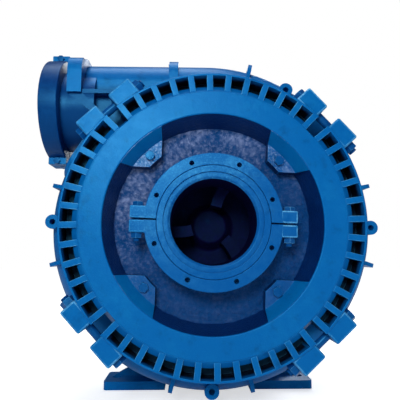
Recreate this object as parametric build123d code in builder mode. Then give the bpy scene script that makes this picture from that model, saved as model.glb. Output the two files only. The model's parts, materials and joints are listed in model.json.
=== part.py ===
from build123d import *
import math
import os

os.makedirs("parts", exist_ok=True)

# Gravel pump seen from its suction side: X to the right, Y back along the shaft, Z up.
# The origin lies on the shaft axis in the front face of the split suction ring.

# Suction ring and intake joint
bore_radius = 150.0
mouth_step_radius = 174.0
joint_rim_radius = 197.0
joint_flange_radius = 204.0
joint_tube_radius = 176.0
joint_face_y = 2.0
joint_step_y = 10.0
joint_cone_y = 12.0
joint_flange_y = 26.0
joint_back_y = 30.0
gasket_thickness = 4.0
ring_depth = 60.0
ring_outer_radius = 240.0
ring_fit = 0.6
ear_reach = 289.0
ear_height = 92.0
ear_bolt_x = 264.0
split_gap = 6.0
suction_holes = 8
suction_hole_pcd = 432.0
tapped_hole_radius = 8.75
tapped_hole_depth = 45.0
clocking = 2.0

# Door, clamps and the joint planes of the casing
door_face_y = 12.0
door_back_y = 172.0
door_floor_y = 122.0
recess_edge_radius = 385.0
recess_floor_radius = 345.0
door_face_radius = 466.0
rim_radius = 492.0
joint_plane_y = 90.0
rim_thickness = 12.0
door_cone_length = 39.0
bowl_cone_length = 24.0
spigot_radius = 450.0
spigot_gap = 1.0
neck_radius = 190.0
pad_face_y = 70.0
pad_inner_radius = 303.0
pad_outer_radius = 385.0
pad_inner_width = 59.0
pad_outer_width = 148.0
pad_hole_radius_out = 332.0
pad_hole_radius = 17.0
pad_hole_depth = 36.0
screw_sink = 9.0

clamp_front_y = 15.0
clamp_back_y = 130.0
clamp_outer_radius = 536.0
clamp_band = 13.0
clamp_leg_radius = 508.0
clamp_leg_y = 75.0
clamp_pocket_y = 95.0
clamp_pocket_radius = 514.0
clamp_groove_clearance = 3.0
clamp_fit = 0.6
clamp_clocking = 2.5
clamp_ribs = 12
rib_pitch = 7.5
rib_thickness = 19.0
quadrant_arc = 85.0
lug_gap = 56.0
lug_length = 96.0
lug_inner_radius = 524.5
lug_outer_radius = 590.0
lug_front_y = 22.0
lug_back_y = 118.0
clamp_bolt_radius = 15.0
clamp_bolt_out = 557.0
clamp_bolt_y = 70.0
hole_clearance = 1.0

# Bowl
mid_y = 280.0
wall = 42.0
body_half_width = 115.0
passage_half_width = 75.0
body_edge_fillet = 90.0
spiral_step = 16.0
spiral_radius = 646.5
spiral_x = -17.5
spiral_z = 8.5
tongue_arc = 20.0
flank_radius = 512.0
rib_front_y = 122.0
outer_rib_thickness = 15.0
outer_rib_height = 11.0
outer_rib_spread = 14.0
boss_radius = 27.0
boss_hole_radius = 11.0
boss_length = 60.0
boss_places = [(179.0, 598.0), (61.0, 612.0), (-1.0, 610.0), (-90.0, 606.0)]

# Discharge branch, which points left
outlet_z = 470.0
outlet_bore = 125.0
outlet_face_x = -643.0
outlet_ring_face_x = -645.0
outlet_ring_depth = 70.0
outlet_ring_radius = 205.0
outlet_neck_radius = 160.0
outlet_lip_radius = 176.0
outlet_lip_x = -610.0
outlet_cone_x = -592.0
outlet_root_radius = 158.0
outlet_ear_reach = 226.0
outlet_ear_width = 96.0
outlet_bolt_z = 212.5
outlet_bolt_radius = 8.0
outlet_bolt_head = 24.0
outlet_holes = 8
outlet_hole_pcd = 382.0
collar_x = -548.0
collar_width = 54.0
collar_top_z = 672.0
collar_bottom_z = 330.0
hoop_bottom_z = 498.0
hoop_front_y = 106.0
hoop_corner = 90.0
strap_rib_x = -147.0
strap_rib_width = 36.0
strap_rib_bottom_z = 560.0
strap_rib_top_z = 668.0
strap_rib_proud = 6.0
strap_rib_corner = 70.0
level_rib_z = 506.0
level_rib_end_x = -330.0
slant_rib_end_x = -400.0
slant_rib_end_z = 392.0
branch_rib = 16.0
branch_rib_depth = 70.0
outlet_seal_outer = 160.0
outlet_seal_inner = 136.0
outlet_seal_depth = 8.0
outlet_seal_proud = 3.0
tongue_tip = (-400.0, 330.0)
tongue_throat = (-522.0, 185.0)

# Impeller
impeller_radius = 430.0
front_shroud_y = 178.0
front_shroud = 26.0
back_shroud_y = 344.0
back_shroud = 30.0
vanes = 3
vane_thickness = 42.0
hub_radius = 95.0
hub_nose_y = 296.0
hub_step_y = 380.0
hub_back_y = 410.0
vane_mid_radius = 270.0
vane_lag = 62.0
vane_turn = 75.0
shaft_nose_y = 322.0

# Rear casing and gland
liner_front_y = 388.0
liner_back_y = 425.0
liner_bore = 105.0
stud_depth = 45.0
plate_web_back_y = 465.0
plate_boss_y = 552.0
plate_boss_inner = 220.0
plate_boss_outer = 300.0
plate_ribs = 8
box_radius = 131.8
box_end_y = 600.0
box_bore = 105.0
box_throat = 84.0
packing_start_y = 450.0
lantern_length = 30.0
packing_length = 23.0
packing_count = 4
sleeve_radius = 80.0
running_gap = 0.3
gland_nose_y = 588.0
gland_flange_y = 612.0
gland_flange = 20.0
gland_reach = 166.0
gland_stud_x = 140.0
gland_stud_radius = 10.0
gland_stud_gap = 0.5
gland_stud_length = 70.0

# Shaft and bearings
shaft_radius = 60.0
seat_radius = 80.0
thread_radius = 50.0
sleeve_end_y = 640.0
seat_start_y = 700.0
seat_end_y = 1220.0
shaft_end_y = 1560.0
front_bearing_y = 740.0
rear_bearing_y = 1130.0
bearing_width = 60.0
bearing_outer_radius = 140.0
race_thickness = 16.0
rollers = 18
cage_plate = 3.0
housing_front_y = 720.0
housing_back_y = 1230.0
housing_radius = 175.0
housing_flange_radius = 190.0
housing_flange = 40.0
housing_bore = 125.0
cover_thickness = 20.0
cover_bore = 82.0
cover_screws = 8
cover_screw_radius = 8.0
cover_screw_out = 165.0
key_length = 140.0
key_width = 32.0
key_height = 18.0

# Base
foot_z = -681.0
foot_thickness = 35.0
foot_inner_x = 205.0
foot_outer_x = 445.0
foot_front_y = 450.0
foot_length = 160.0
foot_corner = 14.0
gusset_height = 110.0
side_wall_top_z = -135.0
strap_bolt = 10.0
rear_foot_y = 1150.0
wall_x = 190.0
side_wall = 25.0
web_gap = 4.0
front_wall = 35.0
front_wall_half = 330.0
front_wall_hole = 200.0
base_back_y = 1300.0
saddle_top_z = 0.0
saddle_front_y = 785.0
saddle_rear_y = 1100.0
saddle_length = 50.0
strap_thickness = 20.0
strap_ear_x = 240.0
strap_bolt_x = 217.0
anchor_hole_radius = 20.0
anchor_x = 400.0
anchor_front_y = 530.0
anchor_rear_y = 1230.0
stud_circle = 262.0
stud_count = 8
stud_radius = 15.0
adjuster_z = -205.0
adjuster_radius = 15.0
adjuster_web_y = 900.0
adjuster_lug_y = 975.0
adjuster_lug = 30.0
adjuster_gap = 0.5
adjuster_lug_edge = 34.0
adjuster_lug_width = 64.0


def save(piece, label):
    piece.part.label = label
    export_step(piece.part, f"parts/{label}.step")


def front_plane(y):
    """Plane facing the suction side at depth y, with X to the right and Z up."""
    return Plane.XZ.offset(-y)


def spin(points, radii=0.0, arc=360.0, start=0.0):
    """Turn a closed outline of (radius, depth) points about the shaft axis."""
    with BuildSketch(Plane.XY.rotated((0, start, 0))) as outline:
        with BuildLine():
            FilletPolyline(*points, radius=radii, close=True)
        make_face()
    revolve(outline.sketch, axis=Axis.Y, revolution_arc=arc)


def rod(plane, radius, length, mode=Mode.ADD):
    """Cylinder that starts on the plane and runs along its normal."""
    with BuildSketch(plane) as outline:
        Circle(radius)
    extrude(outline.sketch, amount=length, mode=mode)


def hexagon(plane, across_flats, height, hole=0.0):
    """Nut or bolt head that starts on the plane and runs along its normal."""
    with BuildSketch(plane) as outline:
        RegularPolygon(across_flats / 2, 6, major_radius=False)
        if hole:
            Circle(hole, mode=Mode.SUBTRACT)
    extrude(outline.sketch, amount=height)


def mirrored(points):
    """The same section on the other side of the bowl's mid plane."""
    return [(radius, 2 * mid_y - depth) for radius, depth in points]


# Intake joint: the wear tube that leads the slurry into the impeller eye
with BuildPart() as intake_joint:
    spin([
        (bore_radius, joint_step_y + 8),
        (bore_radius + 8, joint_step_y),
        (mouth_step_radius, joint_step_y),
        (mouth_step_radius, joint_face_y),
        (joint_rim_radius, joint_face_y),
        (joint_rim_radius, joint_cone_y),
        (joint_flange_radius, joint_flange_y),
        (joint_flange_radius, joint_back_y),
        (joint_tube_radius, joint_back_y),
        (joint_tube_radius, door_back_y),
        (bore_radius, door_back_y),
    ], [2, 2, 0, 2, 3, 0, 0, 0, 0, 0, 0])
save(intake_joint, "intake_joint")

door_neck_y = joint_back_y + gasket_thickness
with BuildPart() as intake_seal:
    spin([
        (joint_tube_radius, joint_back_y),
        (joint_flange_radius - 2, joint_back_y),
        (joint_flange_radius - 2, door_neck_y),
        (joint_tube_radius, door_neck_y),
    ])
save(intake_seal, "intake_seal")

# Split ring that pulls the intake joint and the door's neck together
groove_radius = joint_flange_radius + ring_fit
ring_bore = joint_rim_radius + ring_fit
neck_flange_y = door_neck_y + joint_back_y - joint_flange_y
neck_cone_y = neck_flange_y + joint_flange_y - joint_cone_y
ear_bolt_y = ring_depth / 2
for label, side in (("upper", 1), ("lower", -1)):
    with BuildPart() as intake_ring:
        spin([
            (ring_bore, 0),
            (ring_outer_radius, 0),
            (ring_outer_radius, ring_depth),
            (ring_bore, ring_depth),
            (ring_bore, neck_cone_y + ring_fit),
            (groove_radius, neck_flange_y + ring_fit),
            (groove_radius, joint_flange_y - ring_fit),
            (ring_bore, joint_cone_y - ring_fit),
        ], [0, 3, 3, 0, 0, 0, 0, 0])
        with BuildSketch(front_plane(0)):
            for ear_side in (1, -1):
                with Locations((ear_side * (ring_outer_radius + ear_reach - 20) / 2, 0)):
                    Rectangle(ear_reach - ring_outer_radius + 20, ear_height)
        extrude(amount=-ring_depth)
        fillet(intake_ring.edges().filter_by(Axis.Y).group_by(SortBy.DISTANCE)[-1], 6)
        keep_plane = Plane.XY.offset(side * split_gap / 2)
        split(bisect_by=keep_plane, keep=Keep.TOP if side > 0 else Keep.BOTTOM)
        for ear_side in (1, -1):
            bolt_plane = Plane((ear_side * ear_bolt_x, ear_bolt_y, -ear_height))
            rod(bolt_plane, 12 + hole_clearance, 2 * ear_height, Mode.SUBTRACT)
        hole_angles = [22.5 + 45 * k for k in range(suction_holes)]
        for angle in hole_angles:
            hole_x = suction_hole_pcd / 2 * math.cos(math.radians(angle))
            hole_z = suction_hole_pcd / 2 * math.sin(math.radians(angle))
            if hole_z * side > 0:
                hole_plane = Plane((hole_x, 0, hole_z), x_dir=(1, 0, 0), z_dir=(0, 1, 0))
                rod(hole_plane, tapped_hole_radius, tapped_hole_depth, Mode.SUBTRACT)
    with BuildPart() as clocked_ring:
        add(intake_ring.part, rotation=(0, clocking, 0))
    save(clocked_ring, f"intake_ring_{label}")

with BuildPart() as ear_bolts:
    for ear_side in (1, -1):
        head_plane = Plane((ear_side * ear_bolt_x, ear_bolt_y, ear_height / 2))
        hexagon(head_plane, 36, 15)
        rod(head_plane, 12, -ear_height - 30)
with BuildPart() as intake_ring_bolts:
    add(ear_bolts.part, rotation=(0, clocking, 0))
save(intake_ring_bolts, "intake_ring_bolts")

with BuildPart() as ear_nuts:
    for ear_side in (1, -1):
        hexagon(Plane((ear_side * ear_bolt_x, ear_bolt_y, -ear_height / 2)), 36, -19, 12.1)
with BuildPart() as intake_ring_nuts:
    add(ear_nuts.part, rotation=(0, clocking, 0))
save(intake_ring_nuts, "intake_ring_nuts")

# Suction door: the front cover with its deep recess and four corner pads
door_rim_front_y = joint_plane_y - rim_thickness
door_cone_y = door_rim_front_y - door_cone_length
with BuildPart() as suction_door:
    spin([
        (joint_tube_radius + spigot_gap, door_neck_y),
        (joint_flange_radius, door_neck_y),
        (joint_flange_radius, neck_flange_y),
        (joint_rim_radius, neck_cone_y),
        (neck_radius, neck_cone_y),
        (neck_radius, door_floor_y),
        (recess_floor_radius, door_floor_y),
        (recess_edge_radius, door_face_y),
        (door_face_radius, door_face_y),
        (door_face_radius, door_cone_y),
        (rim_radius, door_rim_front_y),
        (rim_radius, joint_plane_y),
        (spigot_radius, joint_plane_y),
        (spigot_radius, door_back_y),
        (joint_tube_radius + spigot_gap, door_back_y),
    ], [0, 0, 0, 0, 0, 14, 22, 8, 2, 0, 2, 0, 0, 3, 0])
    for k in range(4):
        pad_plane = front_plane(pad_face_y).rotated((0, 45 + 90 * k + clocking, 0))
        with BuildSketch(pad_plane) as pad:
            with BuildLine():
                Polyline(
                    (pad_inner_radius, -pad_inner_width / 2),
                    (pad_outer_radius, -pad_outer_width / 2),
                    (pad_outer_radius, pad_outer_width / 2),
                    (pad_inner_radius, pad_inner_width / 2),
                    close=True,
                )
            make_face()
            fillet(pad.vertices().sort_by(SortBy.DISTANCE)[:2], 6)
        extrude(amount=pad_face_y - door_floor_y - 5)
        with BuildSketch(pad_plane):
            with Locations((pad_hole_radius_out, 0)):
                Circle(pad_hole_radius)
        extrude(amount=-pad_hole_depth, mode=Mode.SUBTRACT)
save(suction_door, "suction_door")

with BuildPart() as door_pad_screws:
    for k in range(4):
        screw_plane = front_plane(pad_face_y + screw_sink).rotated((0, 45 + 90 * k + clocking, 0))
        with BuildSketch(screw_plane):
            with Locations((pad_hole_radius_out, 0)):
                Circle(pad_hole_radius - 0.2)
                RegularPolygon(8, 6, mode=Mode.SUBTRACT)
        extrude(amount=screw_sink - pad_hole_depth)
save(door_pad_screws, "door_pad_screws")

seal_width = 12.0
with BuildPart() as door_seal:
    spin([
        (spigot_radius + spigot_gap, joint_plane_y),
        (spigot_radius + spigot_gap + seal_width, joint_plane_y),
        (spigot_radius + spigot_gap + seal_width, joint_plane_y + 10),
        (spigot_radius + spigot_gap, joint_plane_y + 10),
    ])
save(door_seal, "door_seal")

# Clamp rings: four quadrants each, ribbed on the outside and grooved on the inside
bowl_rim_back_y = joint_plane_y + rim_thickness
groove_bottom = rim_radius + clamp_groove_clearance
leg_slope = (rim_radius - door_face_radius) / door_cone_length
leg_bore = door_face_radius + clamp_fit
pocket_radius = clamp_outer_radius - clamp_band
back_bore = rim_radius - bowl_cone_length + clamp_fit
clamp_section = [
    (leg_bore, clamp_front_y),
    (leg_bore + 3, clamp_front_y),
    (clamp_leg_radius, clamp_leg_y),
    (clamp_pocket_radius, clamp_pocket_y),
    (pocket_radius, clamp_pocket_y),
    (pocket_radius, clamp_front_y),
    (clamp_outer_radius, clamp_front_y),
    (clamp_outer_radius, clamp_back_y),
    (back_bore, clamp_back_y),
    (back_bore, bowl_rim_back_y + bowl_cone_length),
    (groove_bottom, bowl_rim_back_y + clamp_fit),
    (groove_bottom, door_cone_y + (groove_bottom - leg_bore) / leg_slope),
    (leg_bore, door_cone_y),
]
section_fillets = [0, 0, 10, 3, 3, 2, 3, 3, 0, 0, 0, 0, 0]
lug_out = lug_gap / 2 + lug_length
with BuildPart() as quadrant:
    spin(clamp_section, section_fillets, quadrant_arc, -quadrant_arc / 2)
    for k in range(clamp_ribs):
        rib_angle = rib_pitch * (k - (clamp_ribs - 1) / 2)
        with BuildSketch(Plane.XY.rotated((0, rib_angle, 0))) as rib:
            with BuildLine():
                Polyline(
                    (leg_bore + 1.5, clamp_front_y),
                    (clamp_outer_radius - clamp_band / 2, clamp_front_y),
                    (clamp_outer_radius - clamp_band / 2, clamp_pocket_y + 2),
                    (clamp_pocket_radius - 3, clamp_pocket_y + 2),
                    (clamp_leg_radius - 3, clamp_leg_y),
                    (leg_bore + 1.5, clamp_front_y + 3),
                    close=True,
                )
            make_face()
        extrude(rib.sketch, amount=rib_thickness / 2, both=True)
    for end in (1, -1):
        lug_plane = Plane.XY.rotated((0, 45 * end, 0)).offset(end * lug_gap / 2)
        with BuildSketch(lug_plane) as lug:
            with Locations((
                (lug_inner_radius + lug_outer_radius) / 2,
                (lug_front_y + lug_back_y) / 2,
            )):
                Rectangle(lug_outer_radius - lug_inner_radius, lug_back_y - lug_front_y)
            fillet(lug.vertices().sort_by(Axis.X)[-2:], 8)
        extrude(lug.sketch, amount=end * lug_length)
        with BuildSketch(lug_plane.offset(-end)) as lug_hole:
            with Locations((clamp_bolt_out, clamp_bolt_y)):
                Circle(clamp_bolt_radius + hole_clearance)
        extrude(lug_hole.sketch, amount=end * (lug_length + 2), mode=Mode.SUBTRACT)

with BuildPart() as rear_quadrant:
    add(quadrant.part)
    mirror(about=front_plane(mid_y), mode=Mode.REPLACE)

quarters = (("right", 0), ("bottom", 90), ("left", 180), ("top", 270))
for label, turn in quarters:
    with BuildPart() as front_clamp:
        add(quadrant.part, rotation=(0, turn + clamp_clocking, 0))
    save(front_clamp, f"front_clamp_{label}")
    with BuildPart() as rear_clamp:
        add(rear_quadrant.part, rotation=(0, turn + clamp_clocking, 0))
    save(rear_clamp, f"rear_clamp_{label}")

nut_height = 24.0
for label, depth in (("front", clamp_bolt_y), ("rear", 2 * mid_y - clamp_bolt_y)):
    with BuildPart() as clamp_bolts:
        for k in range(4):
            split_plane = Plane.XY.rotated((0, 45 + 90 * k + clamp_clocking, 0))
            seat = split_plane.shift_origin(split_plane.from_local_coords((clamp_bolt_out, depth)))
            hexagon(seat.offset(lug_out), 46, 19)
            rod(seat.offset(lug_out), clamp_bolt_radius, -2 * lug_out - nut_height - 10)
    save(clamp_bolts, f"{label}_clamp_bolts")
    with BuildPart() as clamp_nuts:
        for k in range(4):
            split_plane = Plane.XY.rotated((0, 45 + 90 * k + clamp_clocking, 0))
            seat = split_plane.shift_origin(split_plane.from_local_coords((clamp_bolt_out, depth)))
            hexagon(seat.offset(-lug_out), 46, -nut_height, clamp_bolt_radius + 0.1)
    save(clamp_nuts, f"{label}_clamp_nuts")


def spiral_outline(inset):
    """Three quarter arcs whose radius shrinks by one step from the top round to the left."""
    radius = spiral_radius - inset
    x, z, step = spiral_x, spiral_z, spiral_step
    top = (x, z + radius)
    left = (x + 3 * step - radius, z - step)
    CenterArc((x, z), radius, 0, 90)
    CenterArc((x + step, z), radius - step, 270, 90)
    CenterArc((x + step, z - step), radius - 2 * step, 180, 90)
    return top, left


# Bowl: the volute casing with its discharge branch, collar, ribs and bosses
body_front_y = mid_y - body_half_width
outer_left_radius = spiral_radius - 3 * spiral_step
collar_right_x = collar_x + collar_width
outlet_axis = Axis((0, mid_y, outlet_z), (1, 0, 0))
outlet_back_x = outlet_ring_face_x + outlet_ring_depth
branch_end_x = collar_right_x + 46
with BuildPart() as passage:
    with BuildSketch(front_plane(mid_y - passage_half_width)):
        with BuildLine():
            top, left = spiral_outline(wall)
            ThreePointArc(left, tongue_throat, tongue_tip)
            Polyline(
                tongue_tip,
                (collar_right_x, outlet_z - outlet_bore),
                (collar_right_x, outlet_z + outlet_bore),
                top,
            )
        make_face()
    extrude(amount=-2 * passage_half_width)

bowl_rim = [
    (spigot_radius + spigot_gap, joint_plane_y),
    (rim_radius, joint_plane_y),
    (rim_radius, bowl_rim_back_y),
    (rim_radius - bowl_cone_length, bowl_rim_back_y + bowl_cone_length),
    (rim_radius - bowl_cone_length, body_front_y - 12),
    (flank_radius, body_front_y + 4),
    (flank_radius, body_front_y + 30),
    (spigot_radius + spigot_gap, body_front_y + 30),
]
rim_fillets = [0, 0, 0, 4, 10, 0, 0, 0]
groove = [
    (spigot_radius, joint_plane_y - 1),
    (spigot_radius + spigot_gap + seal_width, joint_plane_y - 1),
    (spigot_radius + spigot_gap + seal_width, joint_plane_y + 10),
    (spigot_radius, joint_plane_y + 10),
]
with BuildPart() as volute_bowl:
    with BuildSketch(front_plane(body_front_y)):
        with BuildLine():
            top, left = spiral_outline(0)
            arc_radius = outer_left_radius
            arc_centre = (left[0] + arc_radius, left[1])
            CenterArc(arc_centre, arc_radius, 180 - tongue_arc, tongue_arc)
            under = (
                arc_centre[0] - arc_radius * math.cos(math.radians(tongue_arc)),
                arc_centre[1] + arc_radius * math.sin(math.radians(tongue_arc)),
            )
            Polyline(under, (collar_right_x, collar_bottom_z), (collar_right_x, top[1]), top)
        make_face()
    extrude(amount=-2 * body_half_width)
    flat_edges = volute_bowl.edges().filter_by(Plane.XZ)
    fillet(flat_edges.filter_by(GeomType.CIRCLE) + flat_edges.filter_by(Axis.X), body_edge_fillet)
    # Discharge branch and its lip
    with BuildSketch(front_plane(mid_y)) as branch:
        with BuildLine():
            Polyline(
                (branch_end_x, outlet_z),
                (branch_end_x, outlet_z + outlet_root_radius),
                (collar_x, outlet_z + outlet_root_radius),
                (outlet_back_x + 4, outlet_z + outlet_neck_radius),
                (outlet_cone_x, outlet_z + outlet_neck_radius),
                (outlet_lip_x, outlet_z + outlet_lip_radius),
                (outlet_face_x, outlet_z + outlet_lip_radius),
                (outlet_face_x, outlet_z),
                close=True,
            )
        make_face()
    revolve(branch.sketch, axis=outlet_axis)
    # Hoop that wraps over the branch, and the strap rib that wraps over the casing
    with BuildSketch(Plane.YZ.offset(collar_x)) as hoop:
        with Locations((mid_y, (collar_top_z + hoop_bottom_z) / 2)):
            Rectangle(2 * (mid_y - hoop_front_y), collar_top_z - hoop_bottom_z)
        fillet(hoop.vertices().group_by(Axis.Y)[-1], hoop_corner)
    extrude(hoop.sketch, amount=collar_width)
    with BuildSketch(Plane.YZ.offset(strap_rib_x)) as strap_rib:
        with Locations((mid_y, (strap_rib_top_z + strap_rib_bottom_z) / 2)):
            Rectangle(2 * (body_half_width + strap_rib_proud), strap_rib_top_z - strap_rib_bottom_z)
        fillet(strap_rib.vertices().group_by(Axis.Y)[-1], strap_rib_corner)
    extrude(strap_rib.sketch, amount=strap_rib_width / 2, both=True)
    # Casing ribs in front of and behind the branch
    for rib_y, rib_way in ((rib_front_y, -1), (2 * mid_y - rib_front_y, 1)):
        with BuildSketch(front_plane(rib_y)) as branch_ribs:
            with Locations(((collar_x + level_rib_end_x) / 2, level_rib_z)):
                Rectangle(level_rib_end_x - collar_x, branch_rib)
            with BuildLine():
                Polyline(
                    (collar_x + 8, level_rib_z + branch_rib / 2),
                    (collar_x + 8, level_rib_z - branch_rib),
                    (slant_rib_end_x - branch_rib, slant_rib_end_z),
                    (slant_rib_end_x + branch_rib, slant_rib_end_z),
                    (collar_x + 8 + 2 * branch_rib, level_rib_z + branch_rib / 2),
                    close=True,
                )
            make_face()
        extrude(branch_ribs.sketch, amount=rib_way * branch_rib_depth)
    # Stiffening ribs across the outer wall, in pairs about the four quarter lines
    for quarter, reach in ((0, 630), (90, 623), (180, 616), (270, 656)):
        for spread in (outer_rib_spread, -outer_rib_spread):
            rib_plane = Plane.XY.rotated((0, quarter + spread, 0))
            with BuildSketch(rib_plane) as outer_rib:
                with BuildLine():
                    Polyline(
                        (flank_radius - 10, body_front_y - 6),
                        (reach - 30, body_front_y - 6),
                        (reach + outer_rib_height, body_front_y + 24),
                        (reach + outer_rib_height, 2 * mid_y - body_front_y - 24),
                        (reach - 30, 2 * mid_y - body_front_y + 6),
                        (flank_radius - 10, 2 * mid_y - body_front_y + 6),
                        close=True,
                    )
                make_face()
            extrude(outer_rib.sketch, amount=outer_rib_thickness / 2, both=True)
    for boss_angle, boss_reach in boss_places:
        boss_x = boss_reach * math.cos(math.radians(boss_angle))
        boss_z = boss_reach * math.sin(math.radians(boss_angle))
        for boss_y, boss_way in ((body_front_y, 1), (2 * mid_y - body_front_y, -1)):
            boss_plane = Plane((boss_x, boss_y, boss_z), x_dir=(1, 0, 0), z_dir=(0, boss_way, 0))
            rod(boss_plane, boss_radius, boss_length)
    spin(bowl_rim, rim_fillets)
    spin(mirrored(bowl_rim), rim_fillets)
    add(passage.part, mode=Mode.SUBTRACT)
    rod(front_plane(0), spigot_radius + spigot_gap, -2 * mid_y, Mode.SUBTRACT)
    rod(Plane.YZ.offset(outlet_face_x - 1).shift_origin((outlet_face_x - 1, mid_y, outlet_z)),
        outlet_bore, collar_right_x - outlet_face_x + 40, Mode.SUBTRACT)
    for boss_angle, boss_reach in boss_places:
        boss_x = boss_reach * math.cos(math.radians(boss_angle))
        boss_z = boss_reach * math.sin(math.radians(boss_angle))
        for boss_y, boss_way in ((body_front_y, 1), (2 * mid_y - body_front_y, -1)):
            hole_plane = Plane((boss_x, boss_y, boss_z), x_dir=(1, 0, 0), z_dir=(0, boss_way, 0))
            rod(hole_plane, boss_hole_radius, boss_length - 15, Mode.SUBTRACT)
    with BuildSketch(Plane.XY) as seal_grooves:
        for section in (groove, mirrored(groove)):
            with BuildLine():
                Polyline(*section, close=True)
            make_face()
    revolve(seal_grooves.sketch, axis=Axis.Y, mode=Mode.SUBTRACT)
    lip_seal_plane = Plane.YZ.offset(outlet_face_x).shift_origin((outlet_face_x, mid_y, outlet_z))
    with BuildSketch(lip_seal_plane) as lip_groove:
        Circle(outlet_seal_outer)
        Circle(outlet_seal_inner, mode=Mode.SUBTRACT)
    extrude(lip_groove.sketch, amount=outlet_seal_depth, mode=Mode.SUBTRACT)
save(volute_bowl, "volute_bowl")

with BuildPart() as discharge_seal:
    with BuildSketch(lip_seal_plane.offset(-outlet_seal_proud)):
        Circle(outlet_seal_outer)
        Circle(outlet_seal_inner, mode=Mode.SUBTRACT)
    extrude(amount=outlet_seal_depth + outlet_seal_proud)
save(discharge_seal, "discharge_seal")

# Split discharge ring, with its ears above and below the branch
ring_plane = Plane.YZ.offset(outlet_ring_face_x).shift_origin((outlet_ring_face_x, mid_y, outlet_z))
ring_mid_x = outlet_ring_face_x + outlet_ring_depth / 2
for label, side in (("front", -1), ("rear", 1)):
    with BuildPart() as discharge_ring:
        with BuildSketch(front_plane(mid_y)) as ring_section:
            with BuildLine():
                Polyline(
                    (outlet_ring_face_x, outlet_z + outlet_lip_radius + ring_fit),
                    (outlet_ring_face_x, outlet_z + outlet_ring_radius),
                    (outlet_back_x, outlet_z + outlet_ring_radius),
                    (outlet_back_x, outlet_z + outlet_neck_radius + ring_fit),
                    (outlet_cone_x + ring_fit, outlet_z + outlet_neck_radius + ring_fit),
                    (outlet_lip_x + ring_fit, outlet_z + outlet_lip_radius + ring_fit),
                    close=True,
                )
            make_face()
            fillet(ring_section.vertices().group_by(Axis.Y)[-1], 5)
        revolve(ring_section.sketch, axis=outlet_axis)
        with BuildSketch(ring_plane) as ears:
            for ear_side in (1, -1):
                with Locations((0, ear_side * (outlet_ring_radius + outlet_ear_reach - 26) / 2)):
                    Rectangle(outlet_ear_width, outlet_ear_reach - outlet_ring_radius + 26)
        extrude(ears.sketch, amount=outlet_ring_depth)
        split_plane = front_plane(mid_y + side * split_gap / 2)
        split(bisect_by=split_plane, keep=Keep.TOP if side < 0 else Keep.BOTTOM)
        for ear_side in (1, -1):
            bolt_plane = front_plane(mid_y - 100).shift_origin(
                (ring_mid_x, mid_y - 100, outlet_z + ear_side * outlet_bolt_z))
            rod(bolt_plane, outlet_bolt_radius + hole_clearance, -200, Mode.SUBTRACT)
        for k in range(outlet_holes):
            angle = math.radians(22.5 + 45 * k)
            hole_y = outlet_hole_pcd / 2 * math.cos(angle)
            hole_z = outlet_hole_pcd / 2 * math.sin(angle)
            if hole_y * side > 0:
                hole_plane = Plane(
                    (outlet_ring_face_x, mid_y + hole_y, outlet_z + hole_z),
                    x_dir=(0, 1, 0),
                    z_dir=(1, 0, 0),
                )
                rod(hole_plane, tapped_hole_radius, tapped_hole_depth, Mode.SUBTRACT)
    save(discharge_ring, f"discharge_ring_{label}")

with BuildPart() as discharge_ring_bolts:
    for ear_side in (1, -1):
        head_plane = front_plane(mid_y - outlet_ear_width / 2).shift_origin(
            (ring_mid_x, mid_y - outlet_ear_width / 2, outlet_z + ear_side * outlet_bolt_z))
        hexagon(head_plane, outlet_bolt_head, 10)
        rod(head_plane, outlet_bolt_radius, -outlet_ear_width - 22)
save(discharge_ring_bolts, "discharge_ring_bolts")

with BuildPart() as discharge_ring_nuts:
    for ear_side in (1, -1):
        nut_plane = front_plane(mid_y + outlet_ear_width / 2).shift_origin(
            (ring_mid_x, mid_y + outlet_ear_width / 2, outlet_z + ear_side * outlet_bolt_z))
        hexagon(nut_plane, outlet_bolt_head, -13, outlet_bolt_radius + 0.1)
save(discharge_ring_nuts, "discharge_ring_nuts")

# Impeller: two shrouds, curved vanes and the hub that screws onto the shaft
back_shroud_end = back_shroud_y + back_shroud
with BuildPart() as impeller:
    spin([
        (bore_radius, front_shroud_y),
        (impeller_radius, front_shroud_y),
        (impeller_radius, front_shroud_y + front_shroud),
        (bore_radius, front_shroud_y + front_shroud),
    ], [8, 3, 3, 8])
    spin([
        (thread_radius, hub_nose_y),
        (hub_radius - 30, hub_nose_y),
        (hub_radius, back_shroud_y - 8),
        (impeller_radius, back_shroud_y),
        (impeller_radius, back_shroud_end),
        (hub_radius, back_shroud_end),
        (hub_radius, hub_step_y),
        (sleeve_radius, hub_step_y),
        (sleeve_radius, hub_back_y),
        (thread_radius, hub_back_y),
    ], [0, 12, 14, 3, 3, 0, 0, 0, 0, 0])
    rod(front_plane(hub_nose_y), thread_radius, -(shaft_nose_y - hub_nose_y))
    for k in range(vanes):
        vane_angle = -360 / vanes * k - vane_turn
        vane_plane = front_plane(front_shroud_y + front_shroud / 2).rotated((0, vane_angle, 0))
        with BuildSketch(vane_plane) as vane:
            with BuildLine(mode=Mode.PRIVATE) as camber:
                ThreePointArc(
                    (hub_radius - 20, 0),
                    (vane_mid_radius * math.cos(math.radians(vane_lag * 0.36)),
                     -vane_mid_radius * math.sin(math.radians(vane_lag * 0.36))),
                    ((impeller_radius - 25) * math.cos(math.radians(vane_lag)),
                     -(impeller_radius - 25) * math.sin(math.radians(vane_lag))),
                )
            trace(camber.line, vane_thickness)
        extrude(vane.sketch, amount=-(back_shroud_y - front_shroud_y))
save(impeller, "impeller")

# Rear wear liner, its seal, and the frame plate that carries the casing
with BuildPart() as back_liner:
    spin([
        (liner_bore, liner_front_y),
        (spigot_radius, liner_front_y),
        (spigot_radius, liner_back_y),
        (liner_bore, liner_back_y),
    ], [4, 4, 0, 0])
save(back_liner, "back_liner")

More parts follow.
